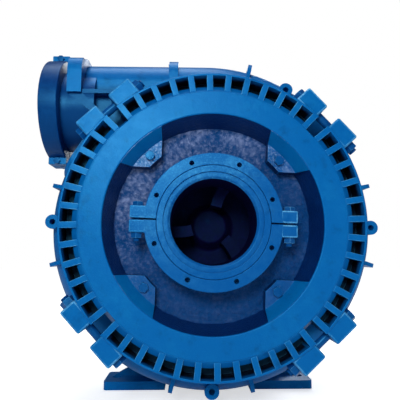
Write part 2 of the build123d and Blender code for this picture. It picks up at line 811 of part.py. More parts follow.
with BuildPart() as back_seal:
    spin([
        (spigot_radius + spigot_gap, 2 * mid_y - joint_plane_y),
        (spigot_radius + spigot_gap + seal_width, 2 * mid_y - joint_plane_y),
        (spigot_radius + spigot_gap + seal_width, 2 * mid_y - joint_plane_y - 10),
        (spigot_radius + spigot_gap, 2 * mid_y - joint_plane_y - 10),
    ])
save(back_seal, "back_seal")

plate_joint_y = 2 * mid_y - joint_plane_y
with BuildPart() as frame_plate:
    spin([
        (box_radius, liner_back_y),
        (spigot_radius, liner_back_y),
        (spigot_radius, plate_joint_y),
        (rim_radius, plate_joint_y),
        (rim_radius, plate_joint_y + rim_thickness),
        (door_face_radius, plate_joint_y + rim_thickness + door_cone_length),
        (door_face_radius, 2 * mid_y - door_face_y),
        (door_face_radius - 26, 2 * mid_y - door_face_y),
        (door_face_radius - 46, plate_web_back_y),
        (plate_boss_outer, plate_web_back_y),
        (plate_boss_outer, plate_boss_y),
        (plate_boss_inner, plate_boss_y),
        (plate_boss_inner, plate_web_back_y),
        (box_radius, plate_web_back_y),
    ], [0, 0, 0, 0, 0, 0, 3, 3, 12, 8, 3, 3, 8, 0])
    for k in range(plate_ribs):
        with BuildSketch(Plane.XY.rotated((0, 360 / plate_ribs * k, 0))) as plate_rib:
            with BuildLine():
                Polyline(
                    (plate_boss_outer - 5, plate_web_back_y - 5),
                    (door_face_radius - 40, plate_web_back_y - 5),
                    (door_face_radius - 30, plate_boss_y - 15),
                    (plate_boss_outer - 5, plate_boss_y - 15),
                    close=True,
                )
            make_face()
        extrude(plate_rib.sketch, amount=14, both=True)
    for k in range(stud_count):
        angle = math.radians(360 / stud_count * (k + 0.5))
        stud_plane = front_plane(plate_boss_y).shift_origin(
            (stud_circle * math.cos(angle), plate_boss_y, stud_circle * math.sin(angle)))
        rod(stud_plane, stud_radius, stud_depth, Mode.SUBTRACT)
save(frame_plate, "frame_plate")

with BuildPart() as frame_plate_studs:
    for k in range(stud_count):
        angle = math.radians(360 / stud_count * (k + 0.5))
        stud_plane = front_plane(plate_boss_y).shift_origin(
            (stud_circle * math.cos(angle), plate_boss_y, stud_circle * math.sin(angle)))
        rod(stud_plane, stud_radius, stud_depth)
        rod(stud_plane, stud_radius, -front_wall - nut_height - 12)
save(frame_plate_studs, "frame_plate_studs")

with BuildPart() as frame_plate_nuts:
    for k in range(stud_count):
        angle = math.radians(360 / stud_count * (k + 0.5))
        nut_plane = front_plane(plate_boss_y + front_wall).shift_origin(
            (stud_circle * math.cos(angle), plate_boss_y + front_wall, stud_circle * math.sin(angle)))
        hexagon(nut_plane, 46, -nut_height, stud_radius + 0.1)
save(frame_plate_nuts, "frame_plate_nuts")

# Stuffing box with its lantern ring and packing, and the split gland behind
packing_bore = sleeve_radius + running_gap
lantern_end_y = packing_start_y + lantern_length
packing_end_y = lantern_end_y + packing_count * packing_length
with BuildPart() as stuffing_box:
    spin([
        (box_throat, liner_back_y),
        (box_radius, liner_back_y),
        (box_radius, plate_web_back_y),
        (plate_boss_inner - 40, plate_web_back_y),
        (plate_boss_inner - 40, plate_web_back_y + 20),
        (box_radius - 4, plate_web_back_y + 20),
        (box_radius - 4, box_end_y),
        (box_bore, box_end_y),
        (box_bore, packing_start_y),
        (box_throat, packing_start_y),
    ], [0, 0, 0, 3, 3, 8, 3, 2, 0, 0])
    for side in (1, -1):
        with BuildSketch(front_plane(box_end_y)) as box_ear:
            with Locations((side * (gland_stud_x - 2), 0)):
                Rectangle(56, 60)
            Circle(box_bore + 3, mode=Mode.SUBTRACT)
        extrude(box_ear.sketch, amount=30)
        stud_plane = front_plane(box_end_y).shift_origin((side * gland_stud_x, box_end_y, 0))
        rod(stud_plane, gland_stud_radius, 30, Mode.SUBTRACT)
save(stuffing_box, "stuffing_box")

with BuildPart() as lantern_ring:
    spin([
        (packing_bore, packing_start_y),
        (box_bore, packing_start_y),
        (box_bore, packing_start_y + 8),
        (box_bore - 6, packing_start_y + 8),
        (box_bore - 6, lantern_end_y - 8),
        (box_bore, lantern_end_y - 8),
        (box_bore, lantern_end_y),
        (packing_bore, lantern_end_y),
    ])
save(lantern_ring, "lantern_ring")

with BuildPart() as packing_rings:
    for k in range(packing_count):
        ring_start = lantern_end_y + k * packing_length
        spin([
            (packing_bore, ring_start),
            (box_bore, ring_start),
            (box_bore, ring_start + packing_length - 0.5),
            (packing_bore, ring_start + packing_length - 0.5),
        ])
save(packing_rings, "packing_rings")

for label, side in (("left", -1), ("right", 1)):
    with BuildPart() as gland:
        spin([
            (sleeve_radius + 1.5, gland_nose_y),
            (box_bore - 0.4, gland_nose_y),
            (box_bore - 0.4, gland_flange_y),
            (box_radius - 6, gland_flange_y),
            (box_radius - 6, gland_flange_y + gland_flange),
            (sleeve_radius + 1.5, gland_flange_y + gland_flange),
        ], [1, 2, 0, 3, 3, 1])
        with BuildSketch(front_plane(gland_flange_y)) as gland_ear:
            with Locations((side * gland_stud_x, 0)):
                Rectangle(2 * (gland_reach - gland_stud_x), 56)
        extrude(gland_ear.sketch, amount=-gland_flange)
        keep_plane = Plane.YZ.offset(side * 0.5)
        split(bisect_by=keep_plane, keep=Keep.TOP if side > 0 else Keep.BOTTOM)
        hole_plane = front_plane(gland_flange_y - 1).shift_origin(
            (side * gland_stud_x, gland_flange_y - 1, 0))
        rod(hole_plane, gland_stud_radius + gland_stud_gap, -gland_flange - 2, Mode.SUBTRACT)
    save(gland, f"gland_{label}")

with BuildPart() as gland_studs:
    for side in (1, -1):
        stud_plane = front_plane(box_end_y - 30).shift_origin((side * gland_stud_x, box_end_y - 30, 0))
        rod(stud_plane, gland_stud_radius, -30 - gland_stud_length)
save(gland_studs, "gland_studs")

with BuildPart() as gland_nuts:
    for side in (1, -1):
        nut_y = gland_flange_y + gland_flange
        nut_plane = front_plane(nut_y).shift_origin((side * gland_stud_x, nut_y, 0))
        hexagon(nut_plane, 30, -16, gland_stud_radius + gland_stud_gap)
save(gland_nuts, "gland_nuts")

# Shaft, sleeve, spacer and key
with BuildPart() as shaft:
    spin([
        (0, shaft_nose_y),
        (thread_radius, shaft_nose_y),
        (thread_radius, hub_back_y),
        (shaft_radius, hub_back_y),
        (shaft_radius, seat_start_y),
        (seat_radius, seat_start_y),
        (seat_radius, seat_end_y),
        (seat_radius - 10, seat_end_y),
        (seat_radius - 10, seat_end_y + 70),
        (shaft_radius, seat_end_y + 70),
        (shaft_radius, shaft_end_y),
        (0, shaft_end_y),
    ])
    chamfer(shaft.edges().group_by(Axis.Y)[-1], 4)
    with BuildSketch(Plane.XY.offset(shaft_radius - key_height / 2)) as keyway:
        with Locations((0, shaft_end_y - key_length / 2 - 10)):
            Rectangle(key_width, key_length)
    extrude(keyway.sketch, amount=key_height, mode=Mode.SUBTRACT)
save(shaft, "shaft")

with BuildPart() as shaft_key:
    with BuildSketch(Plane.XY.offset(shaft_radius - key_height / 2)) as key_outline:
        with Locations((0, shaft_end_y - key_length / 2 - 10)):
            Rectangle(key_width, key_length)
    extrude(key_outline.sketch, amount=key_height)
save(shaft_key, "shaft_key")

with BuildPart() as shaft_sleeve:
    spin([
        (shaft_radius, hub_back_y),
        (sleeve_radius, hub_back_y),
        (sleeve_radius, sleeve_end_y),
        (shaft_radius, sleeve_end_y),
    ])
save(shaft_sleeve, "shaft_sleeve")

with BuildPart() as shaft_spacer:
    spin([
        (shaft_radius, sleeve_end_y),
        (seat_radius - 2, sleeve_end_y),
        (seat_radius - 2, seat_start_y),
        (shaft_radius, seat_start_y),
    ])
save(shaft_spacer, "shaft_spacer")

# Bearing cartridge: housing, end covers and two roller bearings
with BuildPart() as bearing_housing:
    spin([
        (bearing_outer_radius, housing_front_y),
        (housing_flange_radius, housing_front_y),
        (housing_flange_radius, housing_front_y + housing_flange),
        (housing_radius, housing_front_y + housing_flange + 15),
        (housing_radius, housing_back_y - housing_flange - 15),
        (housing_flange_radius, housing_back_y - housing_flange),
        (housing_flange_radius, housing_back_y),
        (bearing_outer_radius, housing_back_y),
        (bearing_outer_radius, rear_bearing_y),
        (housing_bore, rear_bearing_y),
        (housing_bore, front_bearing_y + bearing_width),
        (bearing_outer_radius, front_bearing_y + bearing_width),
    ], [0, 3, 0, 0, 0, 0, 3, 0, 0, 0, 0, 0])
    with BuildSketch(front_plane(adjuster_lug_y)) as lug_outline:
        with Locations((0, (adjuster_z - adjuster_lug_edge - housing_radius + 10) / 2)):
            Rectangle(adjuster_lug_width, adjuster_lug_edge - adjuster_z - housing_radius + 10)
    extrude(lug_outline.sketch, amount=-adjuster_lug)
    lug_plane = front_plane(adjuster_lug_y).shift_origin((0, adjuster_lug_y, adjuster_z))
    rod(lug_plane, adjuster_radius + adjuster_gap, -adjuster_lug, Mode.SUBTRACT)
    for k in range(cover_screws):
        angle = math.radians(360 / cover_screws * (k + 0.5))
        for face_y, way in ((housing_front_y, 1), (housing_back_y, -1)):
            hole_plane = Plane(
                (cover_screw_out * math.cos(angle), face_y, cover_screw_out * math.sin(angle)),
                x_dir=(1, 0, 0),
                z_dir=(0, way, 0),
            )
            rod(hole_plane, cover_screw_radius, 35, Mode.SUBTRACT)
save(bearing_housing, "bearing_housing")

inner_race = seat_radius + race_thickness
outer_race = bearing_outer_radius - race_thickness
roller_circle = (inner_race + outer_race) / 2
roller_radius = (outer_race - inner_race) / 2 - running_gap
for label, start_y in (("front", front_bearing_y), ("rear", rear_bearing_y)):
    with BuildPart() as outer_ring:
        spin([
            (outer_race, start_y),
            (bearing_outer_radius, start_y),
            (bearing_outer_radius, start_y + bearing_width),
            (outer_race, start_y + bearing_width),
        ], [2, 2, 2, 2])
    save(outer_ring, f"{label}_bearing_outer")
    with BuildPart() as inner_ring:
        spin([
            (seat_radius, start_y),
            (inner_race, start_y),
            (inner_race, start_y + bearing_width),
            (seat_radius, start_y + bearing_width),
        ], [2, 2, 2, 2])
    save(inner_ring, f"{label}_bearing_inner")
    with BuildPart() as roller_cage:
        for cage_y in (start_y + 1, start_y + bearing_width - 1 - cage_plate):
            with BuildSketch(front_plane(cage_y)) as cage:
                Circle(roller_circle + 8)
                Circle(roller_circle - 8, mode=Mode.SUBTRACT)
            extrude(cage.sketch, amount=-cage_plate)
        with BuildSketch(front_plane(start_y + 1 + cage_plate)) as roller_set:
            with PolarLocations(roller_circle, rollers):
                Circle(roller_radius)
        extrude(roller_set.sketch, amount=2 + 2 * cage_plate - bearing_width)
    save(roller_cage, f"{label}_bearing_rollers")

for label, face_y, way in (("front", housing_front_y, -1), ("rear", housing_back_y, 1)):
    seat_y = front_bearing_y if way < 0 else rear_bearing_y + bearing_width
    with BuildPart() as end_cover:
        spin([
            (cover_bore, face_y + way * cover_thickness),
            (housing_flange_radius - 2, face_y + way * cover_thickness),
            (housing_flange_radius - 2, face_y),
            (bearing_outer_radius, face_y),
            (bearing_outer_radius, seat_y),
            (outer_race + 2, seat_y),
            (outer_race + 2, face_y),
            (cover_bore, face_y),
        ], [2, 3, 0, 0, 0, 0, 0, 2])
        for k in range(cover_screws):
            angle = math.radians(360 / cover_screws * (k + 0.5))
            hole_plane = Plane(
                (cover_screw_out * math.cos(angle), face_y, cover_screw_out * math.sin(angle)),
                x_dir=(1, 0, 0),
                z_dir=(0, way, 0),
            )
            rod(hole_plane, cover_screw_radius, cover_thickness, Mode.SUBTRACT)
    save(end_cover, f"{label}_end_cover")

with BuildPart() as end_cover_screws:
    for k in range(cover_screws):
        angle = math.radians(360 / cover_screws * (k + 0.5))
        for face_y, way in ((housing_front_y - cover_thickness, -1), (housing_back_y + cover_thickness, 1)):
            head_plane = Plane(
                (cover_screw_out * math.cos(angle), face_y, cover_screw_out * math.sin(angle)),
                x_dir=(1, 0, 0),
                z_dir=(0, way, 0),
            )
            hexagon(head_plane, 24, 10)
            rod(head_plane, cover_screw_radius, -cover_thickness - 30)
save(end_cover_screws, "end_cover_screws")

# Base: feet, side walls, front wall with the frame plate's seat, and two saddles
saddle_radius = housing_radius + running_gap
foot_top_z = foot_z + foot_thickness
base_length = base_back_y - plate_boss_y
with BuildPart() as base_frame:
    with BuildSketch(Plane.XY.offset(foot_z)) as feet:
        for side in (1, -1):
            for start_y in (foot_front_y, rear_foot_y):
                with Locations((side * (foot_inner_x + foot_outer_x) / 2, start_y + foot_length / 2)):
                    Rectangle(foot_outer_x - foot_inner_x, foot_length)
            with Locations((side * (foot_inner_x + 40), (foot_front_y + base_back_y) / 2)):
                Rectangle(120, base_back_y - foot_front_y)
    extrude(feet.sketch, amount=foot_thickness)
    fillet(base_frame.edges().filter_by(Axis.Z).group_by(Axis.X)[0], foot_corner)
    fillet(base_frame.edges().filter_by(Axis.Z).group_by(Axis.X)[-1], foot_corner)
    with BuildSketch(front_plane(plate_boss_y)) as front_outline:
        with Locations((0, foot_top_z / 2)):
            Rectangle(2 * front_wall_half, -foot_top_z)
        Circle(front_wall_half)
        Circle(front_wall_hole, mode=Mode.SUBTRACT)
    extrude(front_outline.sketch, amount=-front_wall)
    with BuildSketch(Plane.XY.offset(foot_top_z)) as wall_plan:
        for side in (1, -1):
            with Locations((side * (wall_x + side_wall / 2 + 5), plate_boss_y + base_length / 2)):
                Rectangle(side_wall, base_length)
        for web_y in (adjuster_web_y, saddle_rear_y):
            with Locations((0, web_y + side_wall / 2)):
                Rectangle(2 * wall_x + 10, side_wall)
        with Locations((0, saddle_front_y + side_wall / 2)):
            Rectangle(2 * wall_x + 10, side_wall)
    extrude(wall_plan.sketch, amount=side_wall_top_z - foot_top_z)
    for saddle_y in (saddle_front_y, saddle_rear_y):
        with BuildSketch(front_plane(saddle_y)) as saddle:
            with Locations((0, side_wall_top_z / 2 - 20)):
                Rectangle(2 * strap_ear_x, -side_wall_top_z + 40)
            with Locations((0, saddle_top_z + 200)):
                Rectangle(3 * strap_ear_x, 400, mode=Mode.SUBTRACT)
        extrude(saddle.sketch, amount=-saddle_length)
    rod(front_plane(saddle_front_y - 30), saddle_radius, -(saddle_length + 60), Mode.SUBTRACT)
    rod(front_plane(saddle_rear_y - 30), saddle_radius, -(saddle_length + 60), Mode.SUBTRACT)
    rod(front_plane(adjuster_web_y - 1), saddle_radius + web_gap, -(side_wall + 2), Mode.SUBTRACT)
    for side in (1, -1):
        for anchor_y in (anchor_front_y, anchor_rear_y):
            rod(Plane((side * anchor_x, anchor_y, foot_z)), anchor_hole_radius, foot_thickness, Mode.SUBTRACT)
        for saddle_y in (saddle_front_y, saddle_rear_y):
            bolt_plane = Plane((side * strap_bolt_x, saddle_y + saddle_length / 2, saddle_top_z))
            rod(bolt_plane, strap_bolt, -45, Mode.SUBTRACT)
        for foot_y in (foot_front_y, rear_foot_y):
            with BuildSketch(front_plane(foot_y + foot_length - 60)) as gusset:
                with BuildLine():
                    Polyline(
                        (side * (wall_x + 20), foot_top_z),
                        (side * (foot_outer_x - 30), foot_top_z),
                        (side * (wall_x + 20), foot_top_z + gusset_height),
                        close=True,
                    )
                make_face()
            extrude(gusset.sketch, amount=-20)
    for k in range(stud_count):
        angle = math.radians(360 / stud_count * (k + 0.5))
        hole_plane = front_plane(plate_boss_y).shift_origin(
            (stud_circle * math.cos(angle), plate_boss_y, stud_circle * math.sin(angle)))
        rod(hole_plane, stud_radius + hole_clearance, -front_wall, Mode.SUBTRACT)
    screw_plane = front_plane(adjuster_web_y).shift_origin((0, adjuster_web_y, adjuster_z))
    rod(screw_plane, adjuster_radius, -side_wall, Mode.SUBTRACT)
save(base_frame, "base_frame")

for label, saddle_y in (("front", saddle_front_y), ("rear", saddle_rear_y)):
    with BuildPart() as strap:
        with BuildSketch(front_plane(saddle_y)):
            Circle(saddle_radius + strap_thickness)
            with Locations((0, saddle_top_z + strap_thickness / 2)):
                Rectangle(2 * strap_ear_x, strap_thickness)
            Circle(saddle_radius, mode=Mode.SUBTRACT)
            with Locations((0, saddle_top_z - 200)):
                Rectangle(3 * strap_ear_x, 400, mode=Mode.SUBTRACT)
        extrude(amount=-saddle_length)
        for side in (1, -1):
            bolt_plane = Plane((side * strap_bolt_x, saddle_y + saddle_length / 2, saddle_top_z))
            rod(bolt_plane, strap_bolt + hole_clearance, strap_thickness, Mode.SUBTRACT)
    save(strap, f"housing_strap_{label}")

with BuildPart() as strap_bolts:
    for side in (1, -1):
        for saddle_y in (saddle_front_y, saddle_rear_y):
            head_plane = Plane(
                (side * strap_bolt_x, saddle_y + saddle_length / 2, saddle_top_z + strap_thickness))
            hexagon(head_plane, 30, 13)
            rod(head_plane, strap_bolt, -strap_thickness - 40)
save(strap_bolts, "strap_bolts")

with BuildPart() as adjusting_screw:
    rod(screw_plane, adjuster_radius, -(adjuster_lug_y + adjuster_lug + 60 - adjuster_web_y))
    hexagon(screw_plane.offset(0), 46, 24)
save(adjusting_screw, "adjusting_screw")

with BuildPart() as adjusting_nuts:
    hexagon(lug_plane, 46, nut_height, adjuster_radius + adjuster_gap)
    hexagon(lug_plane.offset(-adjuster_lug), 46, -nut_height, adjuster_radius + adjuster_gap)
save(adjusting_nuts, "adjusting_nuts")
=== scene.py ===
# %% [markdown]
# # A slurry pump, from bare frame to painted casting
# The castings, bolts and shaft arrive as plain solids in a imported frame. This script keeps their places and
# sizes and gives them their looks: rounded cast pieces, chamfered bolts, and blue enamel that has aged.

# %% Load the frame
import bmesh
import bpy
import json
import math
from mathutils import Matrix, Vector


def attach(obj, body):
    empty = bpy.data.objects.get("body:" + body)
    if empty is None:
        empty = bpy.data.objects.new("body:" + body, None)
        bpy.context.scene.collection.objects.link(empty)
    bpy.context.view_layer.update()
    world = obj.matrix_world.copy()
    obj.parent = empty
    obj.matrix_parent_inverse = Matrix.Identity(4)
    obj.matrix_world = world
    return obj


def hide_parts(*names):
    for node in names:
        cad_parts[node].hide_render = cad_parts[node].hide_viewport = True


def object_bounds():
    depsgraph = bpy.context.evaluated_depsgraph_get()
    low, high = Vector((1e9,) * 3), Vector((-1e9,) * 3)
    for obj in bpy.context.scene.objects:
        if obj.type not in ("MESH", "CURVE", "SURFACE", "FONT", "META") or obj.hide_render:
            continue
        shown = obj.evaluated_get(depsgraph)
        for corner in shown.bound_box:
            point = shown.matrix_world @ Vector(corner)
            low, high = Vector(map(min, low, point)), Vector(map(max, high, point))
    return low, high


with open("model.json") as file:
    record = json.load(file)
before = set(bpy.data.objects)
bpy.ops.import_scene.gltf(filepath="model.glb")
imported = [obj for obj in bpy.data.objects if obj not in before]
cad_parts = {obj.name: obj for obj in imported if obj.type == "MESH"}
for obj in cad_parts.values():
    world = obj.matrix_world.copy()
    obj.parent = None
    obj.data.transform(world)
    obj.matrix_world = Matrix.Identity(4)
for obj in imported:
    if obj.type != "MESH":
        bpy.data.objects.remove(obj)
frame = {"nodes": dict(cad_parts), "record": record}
cad_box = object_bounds()
nodes = frame["nodes"]
print("frame nodes", len(nodes))

# %% [markdown]
# ## Camera
# The photograph was taken from a little below and to the left of the shaft, looking slightly up. The place
# and angles follow from how the circles of the door shift against each other with depth.

# %% Camera
FRAME_PIXELS = 400
FOCAL_PIXELS = 433.0
CAMERA_PLACE = (-0.086, -1.472, -0.113)
CAMERA_PITCH = math.radians(7.2)
CAMERA_YAW = math.radians(1.5)

camera_data = bpy.data.cameras.new("camera")
camera_data.sensor_width = 36.0
camera_data.lens = FOCAL_PIXELS / FRAME_PIXELS * camera_data.sensor_width
camera_data.clip_start = 0.05
camera = bpy.data.objects.new("camera", camera_data)
bpy.context.scene.collection.objects.link(camera)
camera.location = CAMERA_PLACE
camera.rotation_euler = (math.pi / 2 + CAMERA_PITCH, 0.0, -CAMERA_YAW)
bpy.context.scene.camera = camera
bpy.context.scene.view_settings.view_transform = "Standard"
print("lens", round(camera_data.lens, 2), "mm")

# %% [markdown]
# ## Light
# Enamel is told by what it mirrors. The photograph is lit from the front, a little up and to the left: flat
# faces that look at the camera are bright, walls that run away from it are dark, and the door's upper left
# carries a pale sheen. So the key panel stands close to the place that the door's upper left mirrors.


# %% Studio panels
def panel(name, place, target, size, power):
    """A soft square lamp that looks at a point."""
    lamp_data = bpy.data.lights.new(name, "AREA")
    lamp_data.shape = "SQUARE"
    lamp_data.size = size
    lamp_data.energy = power
    lamp = bpy.data.objects.new(name, lamp_data)
    bpy.context.scene.collection.objects.link(lamp)
    lamp.location = place
    way = Vector(target) - Vector(place)
    lamp.rotation_euler = way.to_track_quat("-Z", "Y").to_euler()
    return lamp


panel("key_panel", (-0.75, -3.5, 1.35), (0.0, 0.1, 0.1), 1.1, 96.0)
panel("fill_panel", (2.8, -3.0, 0.3), (0.0, 0.1, 0.0), 2.0, 14.0)
panel("top_panel", (-0.4, 0.2, 3.4), (-0.2, 0.3, 0.4), 2.0, 48.0)
panel("back_panel", (1.4, 4.2, 2.2), (0.0, 0.9, 0.0), 2.6, 90.0)
print("lamps", len(bpy.data.lights))

# %% [markdown]
# The world lights the pump dimly, and gloss mirrors that dim light. What the camera sees of it, straight or
# through glass, is plain white, and Light Path tells those rays apart, so no more light falls on the pump.


# %% World
def node_math(tree, operation, first, second, third=None):
    """A Math node whose inputs are numbers or other nodes' sockets."""
    node = tree.nodes.new("ShaderNodeMath")
    node.operation = operation
    for index, value in enumerate((first, second, third)):
        if isinstance(value, (int, float)):
            node.inputs[index].default_value = value
        elif value is not None:
            tree.links.new(value, node.inputs[index])
    return node.outputs[0]


WORLD_LIGHT = 0.13
world = bpy.data.worlds.new("studio")
bpy.context.scene.world = world
world.use_nodes = True
world_tree = world.node_tree
dim_sky = world_tree.nodes["Background"]
dim_sky.inputs["Color"].default_value = (0.55, 0.80, 1.0, 1.0)
dim_sky.inputs["Strength"].default_value = WORLD_LIGHT
white_sky = world_tree.nodes.new("ShaderNodeBackground")
white_sky.inputs["Color"].default_value = (1.0, 1.0, 1.0, 1.0)
world_mix = world_tree.nodes.new("ShaderNodeMixShader")
world_rays = world_tree.nodes.new("ShaderNodeLightPath").outputs
seen = node_math(world_tree, "MAXIMUM", world_rays["Is Camera Ray"], world_rays["Is Transmission Ray"])
world_tree.links.new(seen, world_mix.inputs["Fac"])
world_tree.links.new(dim_sky.outputs["Background"], world_mix.inputs[1])
world_tree.links.new(white_sky.outputs["Background"], world_mix.inputs[2])
world_tree.links.new(world_mix.outputs["Shader"], world_tree.nodes["World Output"].inputs["Surface"])
print("world strength", WORLD_LIGHT)

# %% [markdown]
# The floor is a plain pale sheet. For the camera alone it glows on top of the light that falls on it, more
# with distance, so that it runs into the white background and yet keeps the shadow under the feet.

# %% Floor
FLOOR_SIZE = 30.0
FLOOR_GLOW = 0.62
GLOW_START, GLOW_END = 0.7, 2.4
bpy.ops.object.select_all(action="DESELECT")
bpy.ops.mesh.primitive_plane_add(size=FLOOR_SIZE, location=(0.0, 0.0, cad_box[0][2]))
floor = bpy.context.object
floor.name = "studio_floor"
floor_paint = bpy.data.materials.new("studio_floor")
floor_paint.use_nodes = True
floor_tree = floor_paint.node_tree
floor_shader = floor_tree.nodes["Principled BSDF"]
floor_shader.inputs["Base Color"].default_value = (0.93, 0.93, 0.93, 1.0)
floor_shader.inputs["Roughness"].default_value = 0.9
floor_shader.inputs["Emission Color"].default_value = (1.0, 1.0, 1.0, 1.0)
floor_rays = floor_tree.nodes.new("ShaderNodeLightPath").outputs
floor_place = floor_tree.nodes.new("ShaderNodeTexCoord")
floor_reach = floor_tree.nodes.new("ShaderNodeVectorMath")
floor_reach.operation = "LENGTH"
floor_far = floor_tree.nodes.new("ShaderNodeMapRange")
for name, value in zip(("From Min", "From Max", "To Min", "To Max"), (GLOW_START, GLOW_END, FLOOR_GLOW, 1.0)):
    floor_far.inputs[name].default_value = value
floor_tree.links.new(floor_place.outputs["Object"], floor_reach.inputs[0])
floor_tree.links.new(floor_reach.outputs["Value"], floor_far.inputs["Value"])
floor_glow = node_math(floor_tree, "MULTIPLY", floor_rays["Is Camera Ray"], floor_far.outputs["Result"])
floor_tree.links.new(floor_glow, floor_shader.inputs["Emission Strength"])
floor.data.materials.append(floor_paint)
print("floor at", round(cad_box[0][2], 3), "m")

# %% [markdown]
# ## Enamel over sand casting
# The whole pump was sprayed blue as it stood. Four things make it look real: the paint is thicker in some
# places than in others, grime has settled on it, its gloss is uneven, and the sand mould's grain shows
# through. They are one node group, because every painted material uses them, each with its own amounts.


# %% The cast enamel group
GRIME = (0.0008, 0.020, 0.085)
MOST_GRIME = 0.55


def node_mix(tree, factor, first, second):
    """Mix two colours, each a socket or a plain colour, by a factor."""
    node = tree.nodes.new("ShaderNodeMix")
    node.data_type = "RGBA"
    node.clamp_factor = True
    tree.links.new(factor, node.inputs["Factor"])
    for name, value in (("A", first), ("B", second)):
        if isinstance(value, tuple):
            node.inputs[name].default_value = (*value, 1.0)
        else:
            tree.links.new(value, node.inputs[name])
    return node.outputs["Result"]


def cloud(tree, scale, detail, roughness=0.5):
    """A noise texture on the object's own coordinates."""
    node = tree.nodes.new("ShaderNodeTexNoise")
    place = tree.nodes.new("ShaderNodeTexCoord")
    tree.links.new(place.outputs["Object"], node.inputs["Vector"])
    node.inputs["Detail"].default_value = detail
    node.inputs["Roughness"].default_value = roughness
    if isinstance(scale, (int, float)):
        node.inputs["Scale"].default_value = scale
    else:
        tree.links.new(scale, node.inputs["Scale"])
    return node.outputs["Fac"]


def window(tree, value, low, high):
    """A soft ramp from 0 at low to 1 at high."""
    node = tree.nodes.new("ShaderNodeMapRange")
    node.interpolation_type = "SMOOTHSTEP"
    node.inputs["From Min"].default_value = low
    node.inputs["From Max"].default_value = high
    tree.links.new(value, node.inputs["Value"])
    return node.outputs["Result"]


def cast_enamel_group():
    """Colour, roughness and relief of enamel sprayed over a sand casting."""
    tree = bpy.data.node_groups.new("cast_enamel", "ShaderNodeTree")
    for name, kind, value in (
            ("Paint", "NodeSocketColor", (0.0, 0.13, 0.41, 1.0)),
            ("Thin Paint", "NodeSocketColor", (0.02, 0.18, 0.45, 1.0)),
            ("Thinness", "NodeSocketFloat", 0.3),
            ("Gloss", "NodeSocketFloat", 0.35),
            ("Grain", "NodeSocketFloat", 0.3),
            ("Grain Scale", "NodeSocketFloat", 150.0)):
        tree.interface.new_socket(name=name, in_out="INPUT", socket_type=kind).default_value = value
    for name, kind in (("Color", "NodeSocketColor"), ("Roughness", "NodeSocketFloat"),
                       ("Height", "NodeSocketFloat")):
        tree.interface.new_socket(name=name, in_out="OUTPUT", socket_type=kind)
    given = tree.nodes.new("NodeGroupInput").outputs
    result = tree.nodes.new("NodeGroupOutput").inputs

    spray = cloud(tree, 6.0, 4.0)
    mottle = cloud(tree, 42.0, 6.0, 0.65)
    grain = cloud(tree, given["Grain Scale"], 5.0, 0.65)
    peel = cloud(tree, 420.0, 2.0)

    patches = node_math(tree, "MULTIPLY", window(tree, spray, 0.35, 0.70), window(tree, mottle, 0.30, 0.75))
    patches = node_math(tree, "MULTIPLY_ADD", window(tree, grain, 0.45, 0.75), 0.5, patches)
    grime = node_math(tree, "MULTIPLY", window(tree, cloud(tree, 17.0, 7.0, 0.7), 0.52, 0.80), MOST_GRIME)
    thin = node_math(tree, "MULTIPLY", patches, given["Thinness"])
    sprayed = node_mix(tree, thin, given["Paint"], given["Thin Paint"])
    tree.links.new(node_mix(tree, grime, sprayed, GRIME), result["Color"])

    haze = node_math(tree, "MULTIPLY_ADD", mottle, 0.26, -0.13)
    tree.links.new(node_math(tree, "ADD", given["Gloss"], haze), result["Roughness"])

    relief = node_math(tree, "MULTIPLY", grain, given["Grain"])
    relief = node_math(tree, "MULTIPLY_ADD", peel, 0.05, relief)
    relief = node_math(tree, "MULTIPLY_ADD", mottle, 0.20, relief)
    tree.links.new(node_math(tree, "MULTIPLY_ADD", spray, 0.9, relief), result["Height"])
    return tree


cast_enamel = cast_enamel_group()
print("cast_enamel", len(cast_enamel.nodes), "nodes")

# %% [markdown]
# Each paint below is the same group with other amounts. The specular tint leans to blue, because old enamel
# mirrors little white: its darkest places stay a clean deep blue instead of going grey.

# %% Blue paints
BLUE = (0.0004, 0.112, 0.385)
BLUE_THIN = (0.005, 0.200, 0.480)
SHEEN = (0.10, 0.58, 1.0, 1.0)


def add_relief(tree, height, distance):
    """Let a height that changes over the surface tilt the shader's normals."""
    bump = tree.nodes.new("ShaderNodeBump")
    bump.inputs["Distance"].default_value = distance
    tree.links.new(height, bump.inputs["Height"])
    tree.links.new(bump.outputs["Normal"], tree.nodes["Principled BSDF"].inputs["Normal"])


def painted(name, paint, thin_paint, thinness=0.35, gloss=0.36, grain=0.22, grain_scale=150.0,
            relief=0.0022, mirror=0.5):
    """A blue enamel with its own colour, wear and grain."""
    material = bpy.data.materials.new(name)
    material.use_nodes = True
    tree = material.node_tree
    shader = tree.nodes["Principled BSDF"]
    shader.inputs["Specular Tint"].default_value = SHEEN
    shader.inputs["Specular IOR Level"].default_value = mirror
    finish = tree.nodes.new("ShaderNodeGroup")
    finish.name = "finish"
    finish.node_tree = cast_enamel
    for socket, value in (("Paint", (*paint, 1.0)), ("Thin Paint", (*thin_paint, 1.0)),
                          ("Thinness", thinness), ("Gloss", gloss), ("Grain", grain),
                          ("Grain Scale", grain_scale)):
        finish.inputs[socket].default_value = value
    add_relief(tree, finish.outputs["Height"], relief)
    tree.links.new(finish.outputs["Color"], shader.inputs["Base Color"])
    tree.links.new(finish.outputs["Roughness"], shader.inputs["Roughness"])
    return material


